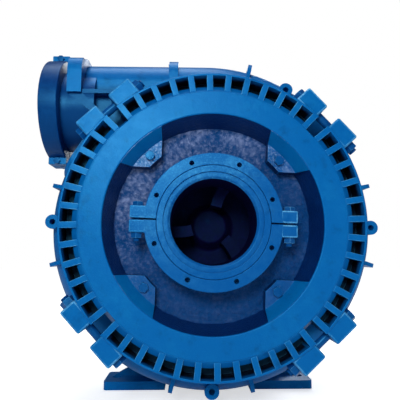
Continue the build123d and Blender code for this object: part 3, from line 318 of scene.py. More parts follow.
casing_paint = painted("casing_paint", BLUE, BLUE_THIN)
# The paler coat on rounded edges is part wear and part a painted highlight along them.
edge_wear_and_highlight = painted("edge_wear_and_highlight", (0.004, 0.165, 0.46), (0.16, 0.50, 0.80), thinness=1.0, grain=0.1)
fastener_paint = painted("fastener_paint", (0.0008, 0.065, 0.25), (0.03, 0.14, 0.36), grain=0.08, gloss=0.3)
# Painted shade: the discharge ring's body is a darker navy than the rest of the casing.
shaded_neck_paint = painted("shaded_neck_paint", (0.0006, 0.030, 0.15), (0.001, 0.06, 0.24))
# Painted shade: the deep bore and the impeller inside it are near black.
shaded_bore_paint = painted("shaded_bore_paint", (0.0035, 0.0018, 0.028), (0.005, 0.004, 0.060), thinness=0.8, gloss=0.6,
                     grain=0.6, grain_scale=80.0, mirror=0.15)

# %% [markdown]
# Grey-lilac primer shows through a granular skin on the recess floor and on the pads. The pale thin paint
# rises towards the upper left, where the key lamp lights, and is nearly nothing at the lower right: on the
# floor and the pads that rise is partly primer and partly a painted sheen. The intake ring grows paler the
# same way, and there it is a painted sheen alone.


# %% Paints of the recess and the ring
LEFTWARD = -0.6
LEAST_THINNESS = 0.12


def object_axes(tree):
    """The X, Y and Z sockets of the object's own coordinates."""
    axes = tree.nodes.new("ShaderNodeSeparateXYZ")
    place = tree.nodes.new("ShaderNodeTexCoord")
    tree.links.new(place.outputs["Object"], axes.inputs["Vector"])
    return axes.outputs


def paler_to_upper_left(material, low, high, most):
    """Let the thin paint grow towards the upper left of the door, as a painted sheen."""
    tree = material.node_tree
    axes = object_axes(tree)
    height = node_math(tree, "MULTIPLY_ADD", axes["X"], LEFTWARD, axes["Z"])
    amount = node_math(tree, "MULTIPLY_ADD", window(tree, height, low, high), most, LEAST_THINNESS)
    tree.links.new(amount, tree.nodes["finish"].inputs["Thinness"])


rough_cast = painted("rough_cast", (0.002, 0.045, 0.20), (0.24, 0.31, 0.56), gloss=0.40, grain=1.6,
                     grain_scale=85.0, relief=0.006)
pad_paint = painted("pad_paint", (0.001, 0.065, 0.26), (0.42, 0.54, 0.80), grain=0.5)
ring_paint = painted("ring_paint", (0.0004, 0.082, 0.32), (0.06, 0.36, 0.70), grain=0.1)
# Painted sheen towards the upper left, where the key lamp lights; on the floor and the pads partly primer
# too.
paler_to_upper_left(rough_cast, -0.20, 0.33, 1.1)
paler_to_upper_left(pad_paint, -0.10, 0.25, 1.4)
paler_to_upper_left(ring_paint, -0.12, 0.26, 0.75)
# Painted shade: the recess wall, the neck's side and the pads' flanks are a dark navy, as they lie in the
# recess's shade.
shaded_wall_paint = painted("shaded_wall_paint", (0.0010, 0.018, 0.11), (0.003, 0.055, 0.23), grain=0.9,
                     grain_scale=90.0, relief=0.003)
slope_paint = painted("slope_paint", (0.0006, 0.135, 0.42), (0.006, 0.22, 0.50))
print("paints", len(bpy.data.materials) - 1)

# %% [markdown]
# The pockets between the clamp's ribs lie deep in shadow, and that shadow is painted: the clamp paint darkens
# with depth below the clamp's own face, the same on the front clamp and the rear one, because the depth is
# taken from the bowl's middle plane. From here on, lengths are in millimetres.


# %% Clamp paint
MM = 0.001
BOWL_MIDDLE_Y = 280.0
POCKET_TOP, POCKET_FLOOR = 252.0, 225.0
POCKET_EDGE = 528.5
POCKET_SHADE = (0.003, 0.002, 0.010)


def overlay(material, amount, colour):
    """Lay another colour over a paint's own, by an amount that changes over the surface."""
    tree = material.node_tree
    covered = node_mix(tree, amount, tree.nodes["finish"].outputs["Color"], colour)
    tree.links.new(covered, tree.nodes["Principled BSDF"].inputs["Base Color"])


clamp_paint = painted("clamp_paint", BLUE, BLUE_THIN, grain=0.18)
clamp_tree = clamp_paint.node_tree
clamp_axes = object_axes(clamp_tree)
from_middle = node_math(clamp_tree, "SUBTRACT", clamp_axes["Y"], BOWL_MIDDLE_Y * MM)
from_middle = node_math(clamp_tree, "ABSOLUTE", from_middle, 0.0)
across = node_math(clamp_tree, "MULTIPLY", clamp_axes["X"], clamp_axes["X"])
across = node_math(clamp_tree, "MULTIPLY_ADD", clamp_axes["Z"], clamp_axes["Z"], across)
across = node_math(clamp_tree, "SQRT", across, 0.0)
# Painted shade: within the band and deep below the face, the paint turns nearly black.
inside = node_math(clamp_tree, "LESS_THAN", across, POCKET_EDGE * MM)
raised = window(clamp_tree, from_middle, POCKET_FLOOR * MM, POCKET_TOP * MM)
deep = node_math(clamp_tree, "SUBTRACT", 1.0, raised)
overlay(clamp_paint, node_math(clamp_tree, "MULTIPLY", deep, inside), POCKET_SHADE)
print("clamp paint", len(clamp_tree.nodes), "nodes")

# %% [markdown]
# ## Bare metal, rubber and packing
# The shaft end, the seals and the gland are not painted. One small recipe serves them all: a fine noise
# shifts the colour and the roughness a little and gives the surface its tool marks.


# %% Bare materials
TOOL_MARK_SCALE = 200.0
TOOL_MARK_DEPTH = 0.0006


def bare(name, colour, roughness, metallic):
    """Bare metal, rubber or packing with a fine uneven surface."""
    material = bpy.data.materials.new(name)
    material.use_nodes = True
    tree = material.node_tree
    shader = tree.nodes["Principled BSDF"]
    shader.inputs["Metallic"].default_value = metallic
    marks = cloud(tree, TOOL_MARK_SCALE, 5.0)
    dark, light = [tuple(min(1.0, share * c) for c in colour) for share in (0.72, 1.18)]
    tree.links.new(node_mix(tree, marks, dark, light), shader.inputs["Base Color"])
    level = node_math(tree, "MULTIPLY_ADD", marks, 0.16, roughness - 0.08)
    tree.links.new(level, shader.inputs["Roughness"])
    add_relief(tree, marks, TOOL_MARK_DEPTH)
    return material


bare_steel = bare("bare_steel", (0.50, 0.51, 0.53), 0.32, 1.0)
seal_rubber = bare("seal_rubber", (0.03, 0.03, 0.032), 0.7, 0.0)
gland_bronze = bare("gland_bronze", (0.62, 0.42, 0.18), 0.35, 1.0)
gland_packing = bare("gland_packing", (0.28, 0.26, 0.2), 0.85, 0.0)

# %% [markdown]
# Every node of the frame belongs to a slot, such as casing paint or bare steel. Each gets its slot's finish
# here, also those that a rounded or newly modelled piece replaces further down.

# %% Paint the frame's own nodes
slot_materials = {
    "casing_paint": casing_paint,
    "painted_fasteners": fastener_paint,
    "bare_steel": bare_steel,
    "wear_iron": shaded_bore_paint,
    "seal_rubber": seal_rubber,
    "gland_bronze": gland_bronze,
    "gland_packing": gland_packing,
}
for subpart in frame["record"]["subparts"]:
    node = nodes[subpart["node"]]
    node.data.materials.clear()
    node.data.materials.append(slot_materials[subpart["material_slot"]])

# %% [markdown]
# ## Working by hand, in code
# Every new piece is made with the same few moves that a modeller makes with the mouse: draw an outline,
# round its corners, spin or extrude it, cut holes, soften the edges. These helpers are those moves. They
# take millimetres, because castings and bolts are drawn in millimetres.


# %% Bench helpers
def put_down():
    """Leave edit mode and let go of everything."""
    if bpy.context.object is not None and bpy.context.object.mode == "EDIT":
        bpy.ops.object.mode_set(mode="OBJECT")
    bpy.ops.object.select_all(action="DESELECT")


def take(piece):
    """Select one piece and make it the one that operators work on."""
    put_down()
    piece.select_set(True)
    bpy.context.view_layer.objects.active = piece


def open_up(piece):
    """Take one piece into edit mode with all of it selected."""
    take(piece)
    bpy.ops.object.mode_set(mode="EDIT")
    bpy.ops.mesh.select_all(action="SELECT")


def face_outwards():
    """Turn every face of the open piece outwards and leave edit mode."""
    bpy.ops.mesh.select_all(action="SELECT")
    bpy.ops.mesh.normals_make_consistent(inside=False)
    bpy.ops.object.mode_set(mode="OBJECT")


def smooth(piece, angle):
    """Shade a piece smooth, except at edges sharper than an angle."""
    take(piece)
    bpy.ops.object.shade_smooth_by_angle(angle=math.radians(angle))


def settle(piece):
    """Write a piece's place, turn and size into its mesh, so that its object stands at the origin."""
    take(piece)
    bpy.ops.object.transform_apply(location=True, rotation=True, scale=True)


def pick(piece, kind, rule):
    """In edit mode, select the corners, edges or faces whose place or normal a rule accepts."""
    bpy.ops.mesh.select_mode(type=kind)
    bpy.ops.mesh.select_all(action="DESELECT")
    mesh = bmesh.from_edit_mesh(piece.data)
    for item in {"VERT": mesh.verts, "EDGE": mesh.edges, "FACE": mesh.faces}[kind]:
        if rule(item):
            item.select_set(True)
    mesh.select_flush_mode()
    bmesh.update_edit_mesh(piece.data)


def refine(piece, kind, **settings):
    """Add a modifier, set it up and apply it at once."""
    take(piece)
    bpy.ops.object.modifier_add(type=kind)
    modifier = piece.modifiers[-1]
    for name, value in settings.items():
        setattr(modifier, name, value)
    bpy.ops.object.modifier_apply(modifier=modifier.name)


def soften(piece, width, segments=3, angle=35.0, paint=casing_paint, edge_coat=edge_wear_and_highlight):
    """Round every sharp edge, give it a paler coat of wear and painted highlight, and shade the rest smooth.
    """
    for coat in (paint, edge_coat):
        piece.data.materials.append(coat)
    refine(piece, "BEVEL", width=width * MM, segments=segments, limit_method="ANGLE",
           angle_limit=math.radians(angle), use_clamp_overlap=True, material=1)
    smooth(piece, angle)


def put_away(*patterns):
    """Delete pieces that only served as a cutting tool or as the pattern for copies."""
    for pattern in patterns:
        bpy.data.objects.remove(pattern)


def carve(piece, tool, operation="DIFFERENCE"):
    """Cut one solid with another."""
    refine(piece, "BOOLEAN", object=tool, operation=operation, solver="EXACT")
    put_away(tool)


def gather(name, pieces):
    """Join loose pieces into one object, as parts of one casting."""
    put_down()
    for piece in pieces:
        piece.select_set(True)
    bpy.context.view_layer.objects.active = pieces[0]
    bpy.ops.object.join()
    whole = bpy.context.object
    whole.name = name
    return whole


def placed(piece, turn=(0.0, 0.0, 0.0), move=(0.0, 0.0, 0.0)):
    """Turn a piece in degrees about the origin, move it in millimetres, and settle it there."""
    piece.rotation_euler = [math.radians(angle) for angle in turn]
    piece.location = [distance * MM for distance in move]
    settle(piece)
    return piece


def another(piece, name, turn=(0.0, 0.0, 0.0), move=(0.0, 0.0, 0.0), flip=False):
    """Copy a piece with its own mesh and put the copy somewhere else."""
    take(piece)
    bpy.ops.object.duplicate(linked=False)
    copy = bpy.context.object
    copy.name = name
    if flip:
        copy.scale = (1.0, -1.0, 1.0)
        settle(copy)
        open_up(copy)
        face_outwards()
    return placed(copy, turn, move)


# %% [markdown]
# A piece starts as an outline, which is spun or extruded, as a block or as a bar. The last helper dresses it:
# it weights the normals, so that broad faces shade flat, and gives the piece its body and its slot.


# %% Outlines, spins and plates
def radius_of(place):
    """How far a place is from the shaft line, in millimetres."""
    return math.hypot(place.x, place.z) / MM


def outline_face(name, corners, roundings):
    """Draw a closed outline by extruding a single corner from place to place, and fill it."""
    put_down()
    bpy.ops.mesh.primitive_plane_add(size=MM, location=(0.0, 0.0, 0.0))
    piece = bpy.context.object
    piece.name = name
    bpy.ops.object.mode_set(mode="EDIT")
    bpy.ops.mesh.merge(type="CENTER")
    bpy.ops.transform.translate(value=corners[0])
    for here, there in zip(corners, corners[1:]):
        bpy.ops.mesh.extrude_region_move(TRANSFORM_OT_translate={"value": there - here})
    bpy.ops.mesh.select_all(action="SELECT")
    bpy.ops.mesh.edge_face_add()
    for rounding in sorted(set(roundings) - {0}):
        sharp = [corner for corner, value in zip(corners, roundings) if value == rounding]
        pick(piece, "VERT", lambda vert: any((vert.co - corner).length < 0.05 * MM for corner in sharp))
        bpy.ops.mesh.bevel(offset=rounding * MM, segments=4, affect="VERTICES")
    return piece


def turned(name, section, steps=96, arc=360.0, start=0.0, split=()):
    """Spin a section of (radius, depth, rounding) corners about the shaft line, as on a lathe."""
    ray = Vector((math.cos(math.radians(start)), 0.0, math.sin(math.radians(start))))
    corners = [ray * radius * MM + Vector((0.0, depth * MM, 0.0)) for radius, depth, _ in section]
    piece = outline_face(name, corners, [rounding for _, _, rounding in section])
    for inner, outer, depth, cuts in split:
        pick(piece, "EDGE", lambda edge: all(
            inner < radius_of(vert.co) < outer and abs(vert.co.y / MM - depth) < 0.1
            for vert in edge.verts))
        bpy.ops.mesh.subdivide(number_cuts=cuts)
    bpy.ops.mesh.select_mode(type="VERT")
    bpy.ops.mesh.select_all(action="SELECT")
    if arc == 360.0:
        bpy.ops.mesh.delete(type="ONLY_FACE")
        bpy.ops.mesh.select_all(action="SELECT")
    bpy.ops.mesh.spin(steps=steps, angle=math.radians(arc), center=(0.0, 0.0, 0.0), axis=(0.0, 1.0, 0.0))
    bpy.ops.mesh.select_all(action="SELECT")
    bpy.ops.mesh.remove_doubles(threshold=0.01 * MM)
    bpy.ops.mesh.delete_loose()
    face_outwards()
    return piece


def plate(name, outline, low, high):
    """Extrude a flat outline from one height to another."""
    corners = [Vector((across, along, low)) * MM for across, along in outline]
    piece = outline_face(name, corners, [0] * len(corners))
    bpy.ops.mesh.select_all(action="SELECT")
    bpy.ops.mesh.extrude_region_move(TRANSFORM_OT_translate={"value": (0.0, 0.0, (high - low) * MM)})
    face_outwards()
    return piece


def block(name, low, high):
    """A block between two corners."""
    put_down()
    bpy.ops.mesh.primitive_cube_add(size=MM, location=[(a + b) / 2 * MM for a, b in zip(low, high)])
    piece = bpy.context.object
    piece.name = name
    piece.scale = [b - a for a, b in zip(low, high)]
    settle(piece)
    return piece


def drum(name, centre, radius, length, axis="Y", sides=48):
    """A round bar whose near end is at the centre and that runs along an axis."""
    put_down()
    turn = {"X": (0.0, math.pi / 2, 0.0), "Y": (-math.pi / 2, 0.0, 0.0), "Z": (0.0, 0.0, 0.0)}[axis]
    reach = {"X": (length / 2, 0, 0), "Y": (0, length / 2, 0), "Z": (0, 0, length / 2)}[axis]
    bpy.ops.mesh.primitive_cylinder_add(
        vertices=sides, radius=radius * MM, depth=abs(length) * MM, rotation=turn,
        location=[(a + b) * MM for a, b in zip(centre, reach)])
    piece = bpy.context.object
    piece.name = name
    settle(piece)
    return piece


def dressed(piece, slot, *stands_for, body="root"):
    """Give a finished piece its paint, its body and the frame's node that it stands for."""
    if not piece.data.materials:
        piece.data.materials.append(slot_materials[slot])
    refine(piece, "WEIGHTED_NORMAL", keep_sharp=True)
    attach(piece, body)
    if stands_for:
        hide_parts(*stands_for)
    print(piece.name, len(piece.data.polygons), "faces")
    return piece

# %% [markdown]
# ## Suction door
# The door is one heavy iron casting: a flat front rim, a deep coned recess, a raised neck in the middle and
# four pads that take the jacking screws. A lathe would make most of it, so its section is drawn once and
# spun. The recess was never machined, so its floor is divided finely and pushed in and out by a noise
# texture, which gives the lumps of the sand mould a real shadow.

# %% Door section
DOOR_FACE_Y = 12.0
DOOR_FLOOR_Y = 122.0
DOOR_BACK_Y = 172.0
JOINT_Y = 90.0
RECESS_EDGE = 385.0
RECESS_FLOOR = 358.0
NECK = 190.0
CLOCKING = 2.0
DOOR_STEPS = 288
FLOOR_CUTS = 30

door_section = [
    (177.0, 34.0, 0), (204.0, 34.0, 0), (204.0, 38.0, 0), (197.0, 52.0, 0), (NECK, 52.0, 0),
    (NECK, DOOR_FLOOR_Y, 10), (RECESS_FLOOR, DOOR_FLOOR_Y, 9), (RECESS_EDGE, DOOR_FACE_Y, 4),
    (466.0, DOOR_FACE_Y, 2), (466.0, 39.0, 0), (492.0, 78.0, 2), (492.0, JOINT_Y, 0),
    (450.0, JOINT_Y, 0), (450.0, DOOR_BACK_Y, 3), (177.0, DOOR_BACK_Y, 0),
]
door = turned("door_casting", door_section, steps=DOOR_STEPS,
              split=[(NECK, RECESS_FLOOR, DOOR_FLOOR_Y, FLOOR_CUTS)])
print("door", len(door.data.polygons), "faces")


# %% Grain of the sand mould
LIP_BACK_Y = 53.0
ROUGH_REACH = 7.0


def push_out(piece, name, rule, size, strength, depth=2):
    """Push the corners that a rule accepts in and out by a cloud noise."""
    group = piece.vertex_groups.new(name=name)
    group.add([vert.index for vert in piece.data.vertices if rule(vert.co)], 1.0, "REPLACE")
    clouds = bpy.data.textures.new(name, "CLOUDS")
    clouds.noise_scale = size * MM
    clouds.noise_depth = depth
    refine(piece, "DISPLACE", texture=clouds, texture_coords="LOCAL", strength=strength * MM,
           mid_level=0.5, vertex_group=name)
    piece.vertex_groups.remove(piece.vertex_groups[name])


def in_recess(place):
    """Whether a place lies in the recess, clear of its neck and its edge."""
    around = NECK + 5 < radius_of(place) < RECESS_EDGE - 8
    return around and DOOR_FACE_Y + 12 < place.y / MM < DOOR_FLOOR_Y + 1


# The recess floor takes the rough cast paint; the recess wall and the neck's side take the dark wall paint, a
# painted shade.
for coat in (casing_paint, rough_cast, shaded_wall_paint):
    door.data.materials.append(coat)
for face in door.data.polygons:
    reach, depth = radius_of(face.center), face.center.y / MM
    if NECK - 1 < reach < RECESS_EDGE - 1 and LIP_BACK_Y < depth < DOOR_FLOOR_Y + 1:
        face.material_index = 1 if depth > DOOR_FLOOR_Y - ROUGH_REACH else 2
    elif RECESS_FLOOR < reach < RECESS_EDGE - 3 and depth < DOOR_FLOOR_Y + 1:
        face.material_index = 2
push_out(door, "sand_lumps", in_recess, size=22.0, strength=5.0)
push_out(door, "sand_grains", in_recess, size=7.0, strength=5.0)
smooth(door, 40.0)
dressed(door, "casing_paint", "suction_door")

# %% [markdown]
# The four pads are cast on the recess floor. Seen from the side each is a step: a slope that runs down from
# the recess's edge to a flat milled face, then a drop to the floor. Its flanks splay outwards. So the step is
# spun through a short arc, which follows the recess, and its flanks are sliced off with two cuts.

# %% Door pads
PAD_FACE_Y = 74.0
PAD_BOLT_OUT = 332.0
PAD_INNER, PAD_INNER_HALF = 304.0, 30.0
PAD_OUTER, PAD_OUTER_HALF = 386.0, 82.0
PAD_BREAK = 354.0
PAD_ROOT, PAD_ROOT_Y = 394.0, DOOR_FLOOR_Y + 5
pad_section = [(PAD_INNER, PAD_FACE_Y, 0), (PAD_BREAK, PAD_FACE_Y, 0), (383.5, 13.5, 0),
               (PAD_ROOT, 22.0, 0), (PAD_ROOT, PAD_ROOT_Y, 0), (PAD_INNER, PAD_ROOT_Y, 0)]


def slice_off(piece, point, away):
    """Cut off everything on the far side of a plane and close the cut."""
    open_up(piece)
    bpy.ops.mesh.bisect(plane_co=Vector(point) * MM, plane_no=away, use_fill=True, clear_outer=True)
    bpy.ops.object.mode_set(mode="OBJECT")


pad = turned("door_pad", pad_section, steps=12, arc=30.0, start=-15.0)
for side in (1, -1):
    slice_off(pad, (PAD_INNER, 0.0, side * PAD_INNER_HALF),
              (PAD_INNER_HALF - PAD_OUTER_HALF, 0.0, side * (PAD_OUTER - PAD_INNER)))
# The pad's flanks and back take the dark wall paint, a painted shade like the recess wall's.
soften(pad, 1.6, segments=2, paint=shaded_wall_paint, edge_coat=slope_paint)
for coat in (pad_paint, slope_paint):
    pad.data.materials.append(coat)
for face in pad.data.polygons:
    milled = face.normal.y < -0.9
    sloping = face.normal.x < -0.3 and face.normal.y < -0.2 and face.center.y < PAD_FACE_Y * MM
    if milled:
        face.material_index = 2
    elif sloping:
        face.material_index = 3
pads = [another(pad, f"door_pad_{k}", turn=(0.0, 45.0 + 90.0 * k + CLOCKING, 0.0)) for k in range(4)]
put_away(pad)
dressed(gather("door_pads", pads), "casing_paint")

# %% [markdown]
# ## Intake joint
# The wear tube that slurry first meets ends in a stepped lip. The steps are narrow, but they catch light as
# thin rings round the dark bore, so their corners are rounded in the section before it is spun.

# %% Intake joint
BORE = 150.0
TUBE = 176.0
LIP = 197.0
joint_section = [
    (BORE, 18.0, 2), (158.0, 10.0, 2), (174.0, 10.0, 0), (174.0, 2.0, 2), (LIP, 2.0, 3),
    (LIP, 12.0, 0), (204.0, 26.0, 0), (204.0, 30.0, 0), (TUBE, 30.0, 0), (TUBE, DOOR_BACK_Y, 0),
    (BORE, DOOR_BACK_Y, 0),
]
intake_joint = turned("intake_lip", joint_section, steps=144)
smooth(intake_joint, 30.0)
intake_joint.data.materials.append(ring_paint)
intake_joint.data.materials.append(shaded_bore_paint)
# The bore's faces take the near-black bore paint, a painted shade.
for face in intake_joint.data.polygons:
    if radius_of(face.center) < BORE + 0.6:
        face.material_index = 1
dressed(intake_joint, "wear_iron", "intake_joint")

# %% [markdown]
# ## Split intake ring
# Two half rings grip the joint and the door's neck and are drawn together by a bolt through the ears at
# each side. The half is spun through half a turn, trimmed flat at the split, drilled for the suction pipe's
# studs, given its ears and softened. The lower half is the upper one turned round.

# %% Intake ring halves
RING_OUTER = 240.0
RING_DEPTH = 60.0
EAR_REACH = 289.0
EAR_HALF_HEIGHT = 46.0
EAR_BOLT_X = 264.0
SPLIT_HALF_GAP = 3.0
STUD_CIRCLE = 216.0
STUD_HOLE = 8.75
ring_section = [
    (197.6, 0.0, 2), (RING_OUTER, 0.0, 4), (RING_OUTER, RING_DEPTH, 4), (197.6, RING_DEPTH, 0),
    (197.6, 52.6, 0), (204.6, 38.6, 0), (204.6, 25.4, 0), (197.6, 11.4, 0),
]


def half_of_ring(section, start, upwards, stud_circle):
    """Spin half a ring, trim it flat at the split and drill its four stud holes."""
    half = turned("half_ring", section, steps=96, arc=180.0, start=start)
    slice_off(half, upwards * SPLIT_HALF_GAP, -upwards)
    for k in range(4):
        angle = math.radians(start + 22.5 + 45.0 * k)
        place = (stud_circle * math.cos(angle), -5.0, stud_circle * math.sin(angle))
        carve(half, drum("stud_hole", place, STUD_HOLE, 45.0, sides=32))
    return half


half_ring = half_of_ring(ring_section, 0.0, Vector((0.0, 0.0, 1.0)), STUD_CIRCLE)
ears = []
for side in (1, -1):
    low_x, high_x = sorted((side * (RING_OUTER - 9), side * EAR_REACH))
    ear = block("ear", (low_x, 0.0, SPLIT_HALF_GAP), (high_x, RING_DEPTH, EAR_HALF_HEIGHT))
    carve(ear, drum("ear_hole", (side * EAR_BOLT_X, RING_DEPTH / 2, -10.0), 13.0, 80.0, axis="Z"))
    soften(ear, 5.0, segments=4, paint=ring_paint)
    ears.append(ear)
soften(half_ring, 1.0, segments=2, paint=ring_paint)
half_ring = gather("split_ring_half", [half_ring] + ears)
upper_ring = another(half_ring, "split_ring_upper", turn=(0.0, CLOCKING, 0.0))
lower_ring = another(half_ring, "split_ring_lower", turn=(0.0, 180.0 + CLOCKING, 0.0))
put_away(half_ring)
dressed(upper_ring, "casing_paint", "intake_ring_upper")
dressed(lower_ring, "casing_paint", "intake_ring_lower")

# %% [markdown]
# ## Clamp ring quadrants
# Eight ribbed quadrants squeeze the door and the back plate onto the bowl. The leg is a cone, the band a
# hoop, and thick ribs bridge the channel between them. A quadrant is a spun section, one rib copied at an
# even pitch, and a bolt lug at each end. The same casting serves all eight places.

# %% One clamp quadrant
RIB_PITCH = 7.5
RIB_COUNT = 12
RIB_THICKNESS = 22.0
CLAMP_FRONT_Y = 15.0
CLAMP_BACK_Y = 130.0
LUG_NEAR = 28.0
LUG_FAR = 124.0
CLAMP_BOLT_OUT = 557.0
CLAMP_BOLT_Y = 70.0
CLAMP_CLOCKING = 2.5
QUADRANT_ARC = 85.0
BAND_INNER, BAND_OUTER = 527.5, 536.0
SHELF_Y = 95.0
clamp_section = [
    (466.6, 16.0, 0), (469.6, 16.0, 1), (491.0, 34.0, 2), (494.0, SHELF_Y, 3), (BAND_INNER, SHELF_Y, 3),
    (BAND_INNER, CLAMP_FRONT_Y, 2), (BAND_OUTER, CLAMP_FRONT_Y, 3), (BAND_OUTER, CLAMP_BACK_Y, 4),
    (468.6, CLAMP_BACK_Y, 0), (468.6, 126.0, 0), (495.0, 102.6, 0), (495.0, 78.0, 0), (466.6, 39.0, 0),
]
quadrant = turned("quadrant", clamp_section, steps=68, arc=QUADRANT_ARC, start=-QUADRANT_ARC / 2)
quadrant.data.materials.append(clamp_paint)
smooth(quadrant, 35.0)

rib_outline = [(468.4, 17.0), (473.0, CLAMP_FRONT_Y), (BAND_INNER + 4, CLAMP_FRONT_Y),
               (BAND_INNER + 4, SHELF_Y + 2), (490.0, SHELF_Y + 2), (488.0, 38.0)]
rib = plate("rib", rib_outline, -RIB_THICKNESS / 2, RIB_THICKNESS / 2)
soften(rib, 1.8, segments=2, paint=clamp_paint)
ribs = [another(rib, f"rib_{k}", turn=(0.0, RIB_PITCH * (k - (RIB_COUNT - 1) / 2), 0.0))
        for k in range(RIB_COUNT)]
put_away(rib)

lugs = []
for side in (1, -1):
    low_z, high_z = sorted((side * LUG_NEAR, side * LUG_FAR))
    lug = block("lug", (524.5, 22.0, low_z), (590.0, 118.0, high_z))
    carve(lug, drum("lug_hole", (CLAMP_BOLT_OUT, CLAMP_BOLT_Y, -150.0), 16.0, 300.0, axis="Z"))
    soften(lug, 7.0, segments=4)
    lugs.append(placed(lug, turn=(0.0, 45.0 * side, 0.0)))
quadrant = gather("clamp_quadrant", [quadrant] + ribs + lugs)
print("quadrant", len(quadrant.data.polygons), "faces")

# %% [markdown]
# The rear four are the front casting mirrored in the bowl's middle plane. A mirrored mesh is inside out, so
# the copying helper turns its normals round again.

# %% All eight quadrants
QUARTERS = (("right", 0.0), ("bottom", 90.0), ("left", 180.0), ("top", 270.0))
for label, angle in QUARTERS:
    front = another(quadrant, f"front_clamp_casting_{label}", turn=(0.0, angle + CLAMP_CLOCKING, 0.0))
    dressed(front, "casing_paint", f"front_clamp_{label}")
    rear = another(quadrant, f"rear_clamp_casting_{label}", turn=(0.0, angle + CLAMP_CLOCKING, 0.0),
                   move=(0.0, 2 * BOWL_MIDDLE_Y, 0.0), flip=True)
    dressed(rear, "casing_paint", f"rear_clamp_{label}")
put_away(quadrant)

# %% [markdown]
# ## Bolts and nuts
# A real hexagon head is turned to a cone at its corners, which gives the curved chamfer lines on its flats.
# Here the six-sided bar is crossed with a chamfered drum by a Boolean, just as the lathe does it. The shank
# past the nut carries a thread, drawn as a row of ridges.

# %% Hexagon heads and threaded ends
THREAD_PITCH = 3.0
STEM_ROOT = 1.0


def hexagon(name, across_flats, height, bore=0.0):
    """A chamfered hexagon that stands on the origin and rises along Z."""
    put_down()
    corner_radius = across_flats / math.sqrt(3.0)
    bpy.ops.mesh.primitive_cylinder_add(vertices=6, radius=corner_radius * MM, depth=height * MM,
                                        location=(0.0, 0.0, height / 2 * MM))
    piece = bpy.context.object
    piece.name = name
    settle(piece)
    chamfer = corner_radius * 0.16
    drum_section = [(0.0, 0.0, 0), (corner_radius, 0.0, 0), (corner_radius, height - 0.5 * chamfer, 0),
                    (corner_radius - chamfer, height, 0), (0.0, height, 0)]
    turning = turned("turning", drum_section, steps=48)
    placed(turning, turn=(90.0, 0.0, 0.0))
    carve(piece, turning, operation="INTERSECT")
    if bore:
        carve(piece, drum("nut_bore", (0.0, 0.0, -5.0), bore, height + 10.0, axis="Z", sides=32))
    soften(piece, 0.6, segments=2, paint=fastener_paint)
    return piece


def threaded_bar(name, radius, reach, thread_length):
    """A round bar that hangs down along Z from a bolt's head, threaded and chamfered at its low end."""
    low = -reach
    section = [(0.0, low, 0), (radius - 1.6, low, 0)]
    turns = int(thread_length / THREAD_PITCH)
    for k in range(turns):
        depth = low + 1.0 + k * THREAD_PITCH
        section += [(radius, depth + 0.3 * THREAD_PITCH, 0), (radius - 1.3, depth + THREAD_PITCH, 0)]
    section += [(radius, low + 1.5 + turns * THREAD_PITCH, 0), (radius, STEM_ROOT, 0), (0.0, STEM_ROOT, 0)]
    piece = turned(name, section, steps=32)
    piece.data.materials.append(fastener_paint)
    placed(piece, turn=(90.0, 0.0, 0.0))
    smooth(piece, 30.0)
    return piece


def bolt(name, across_flats, head_height, radius, reach, thread_length):
    """A hexagon head that stands on the origin, with its stem below."""
    head = hexagon("head", across_flats, head_height)
    return gather(name, [head, threaded_bar("stem", radius, reach, thread_length)])


def facing(piece, name, place, way, spin=0.0):
    """A copy of a piece made along Z, turned to point along another direction at a place."""
    copy = another(piece, name, turn=(0.0, 0.0, spin))
    copy.rotation_euler = Vector(way).to_track_quat("Z", "Y").to_euler()
    copy.location = [distance * MM for distance in place]
    settle(copy)
    return copy


def quarter_way(angle):
    """The ray from the shaft at an angle, and the direction across it, seen from the front."""
    turn = math.radians(angle)
    return Vector((math.cos(turn), 0.0, -math.sin(turn))), Vector((math.sin(turn), 0.0, math.cos(turn)))


# %% Clamp bolts and nuts
CLAMP_HEX, CLAMP_HEAD, CLAMP_NUT = 46.0, 19.0, 24.0
CLAMP_STEM, CLAMP_PAST_NUT = 15.0, 10.0
clamp_head = bolt("clamp_bolt", CLAMP_HEX, CLAMP_HEAD, CLAMP_STEM,
                  reach=2 * LUG_FAR + CLAMP_NUT + CLAMP_PAST_NUT, thread_length=60.0)
clamp_nut = hexagon("nut", CLAMP_HEX, CLAMP_NUT, CLAMP_STEM - 1.0)
for label, depth in (("front", CLAMP_BOLT_Y), ("rear", 2 * BOWL_MIDDLE_Y - CLAMP_BOLT_Y)):
    heads, nuts = [], []
    for k in range(4):
        ray, across = quarter_way(45.0 + 90.0 * k + CLAMP_CLOCKING)
        middle = ray * CLAMP_BOLT_OUT + Vector((0.0, depth, 0.0))
        heads.append(facing(clamp_head, "head", middle + across * LUG_FAR, across, spin=11.0 * k))
        nuts.append(facing(clamp_nut, "nut", middle - across * LUG_FAR, -across, spin=17.0 * k))
    dressed(gather(f"{label}_clamp_bolt_set", heads), "painted_fasteners", f"{label}_clamp_bolts")
    dressed(gather(f"{label}_clamp_nut_set", nuts), "painted_fasteners", f"{label}_clamp_nuts")
put_away(clamp_head, clamp_nut)

# %% [markdown]
# One bolt goes down through each pair of ears, with its head on top and its nut below. They are placed level
# and then turned with the ring.

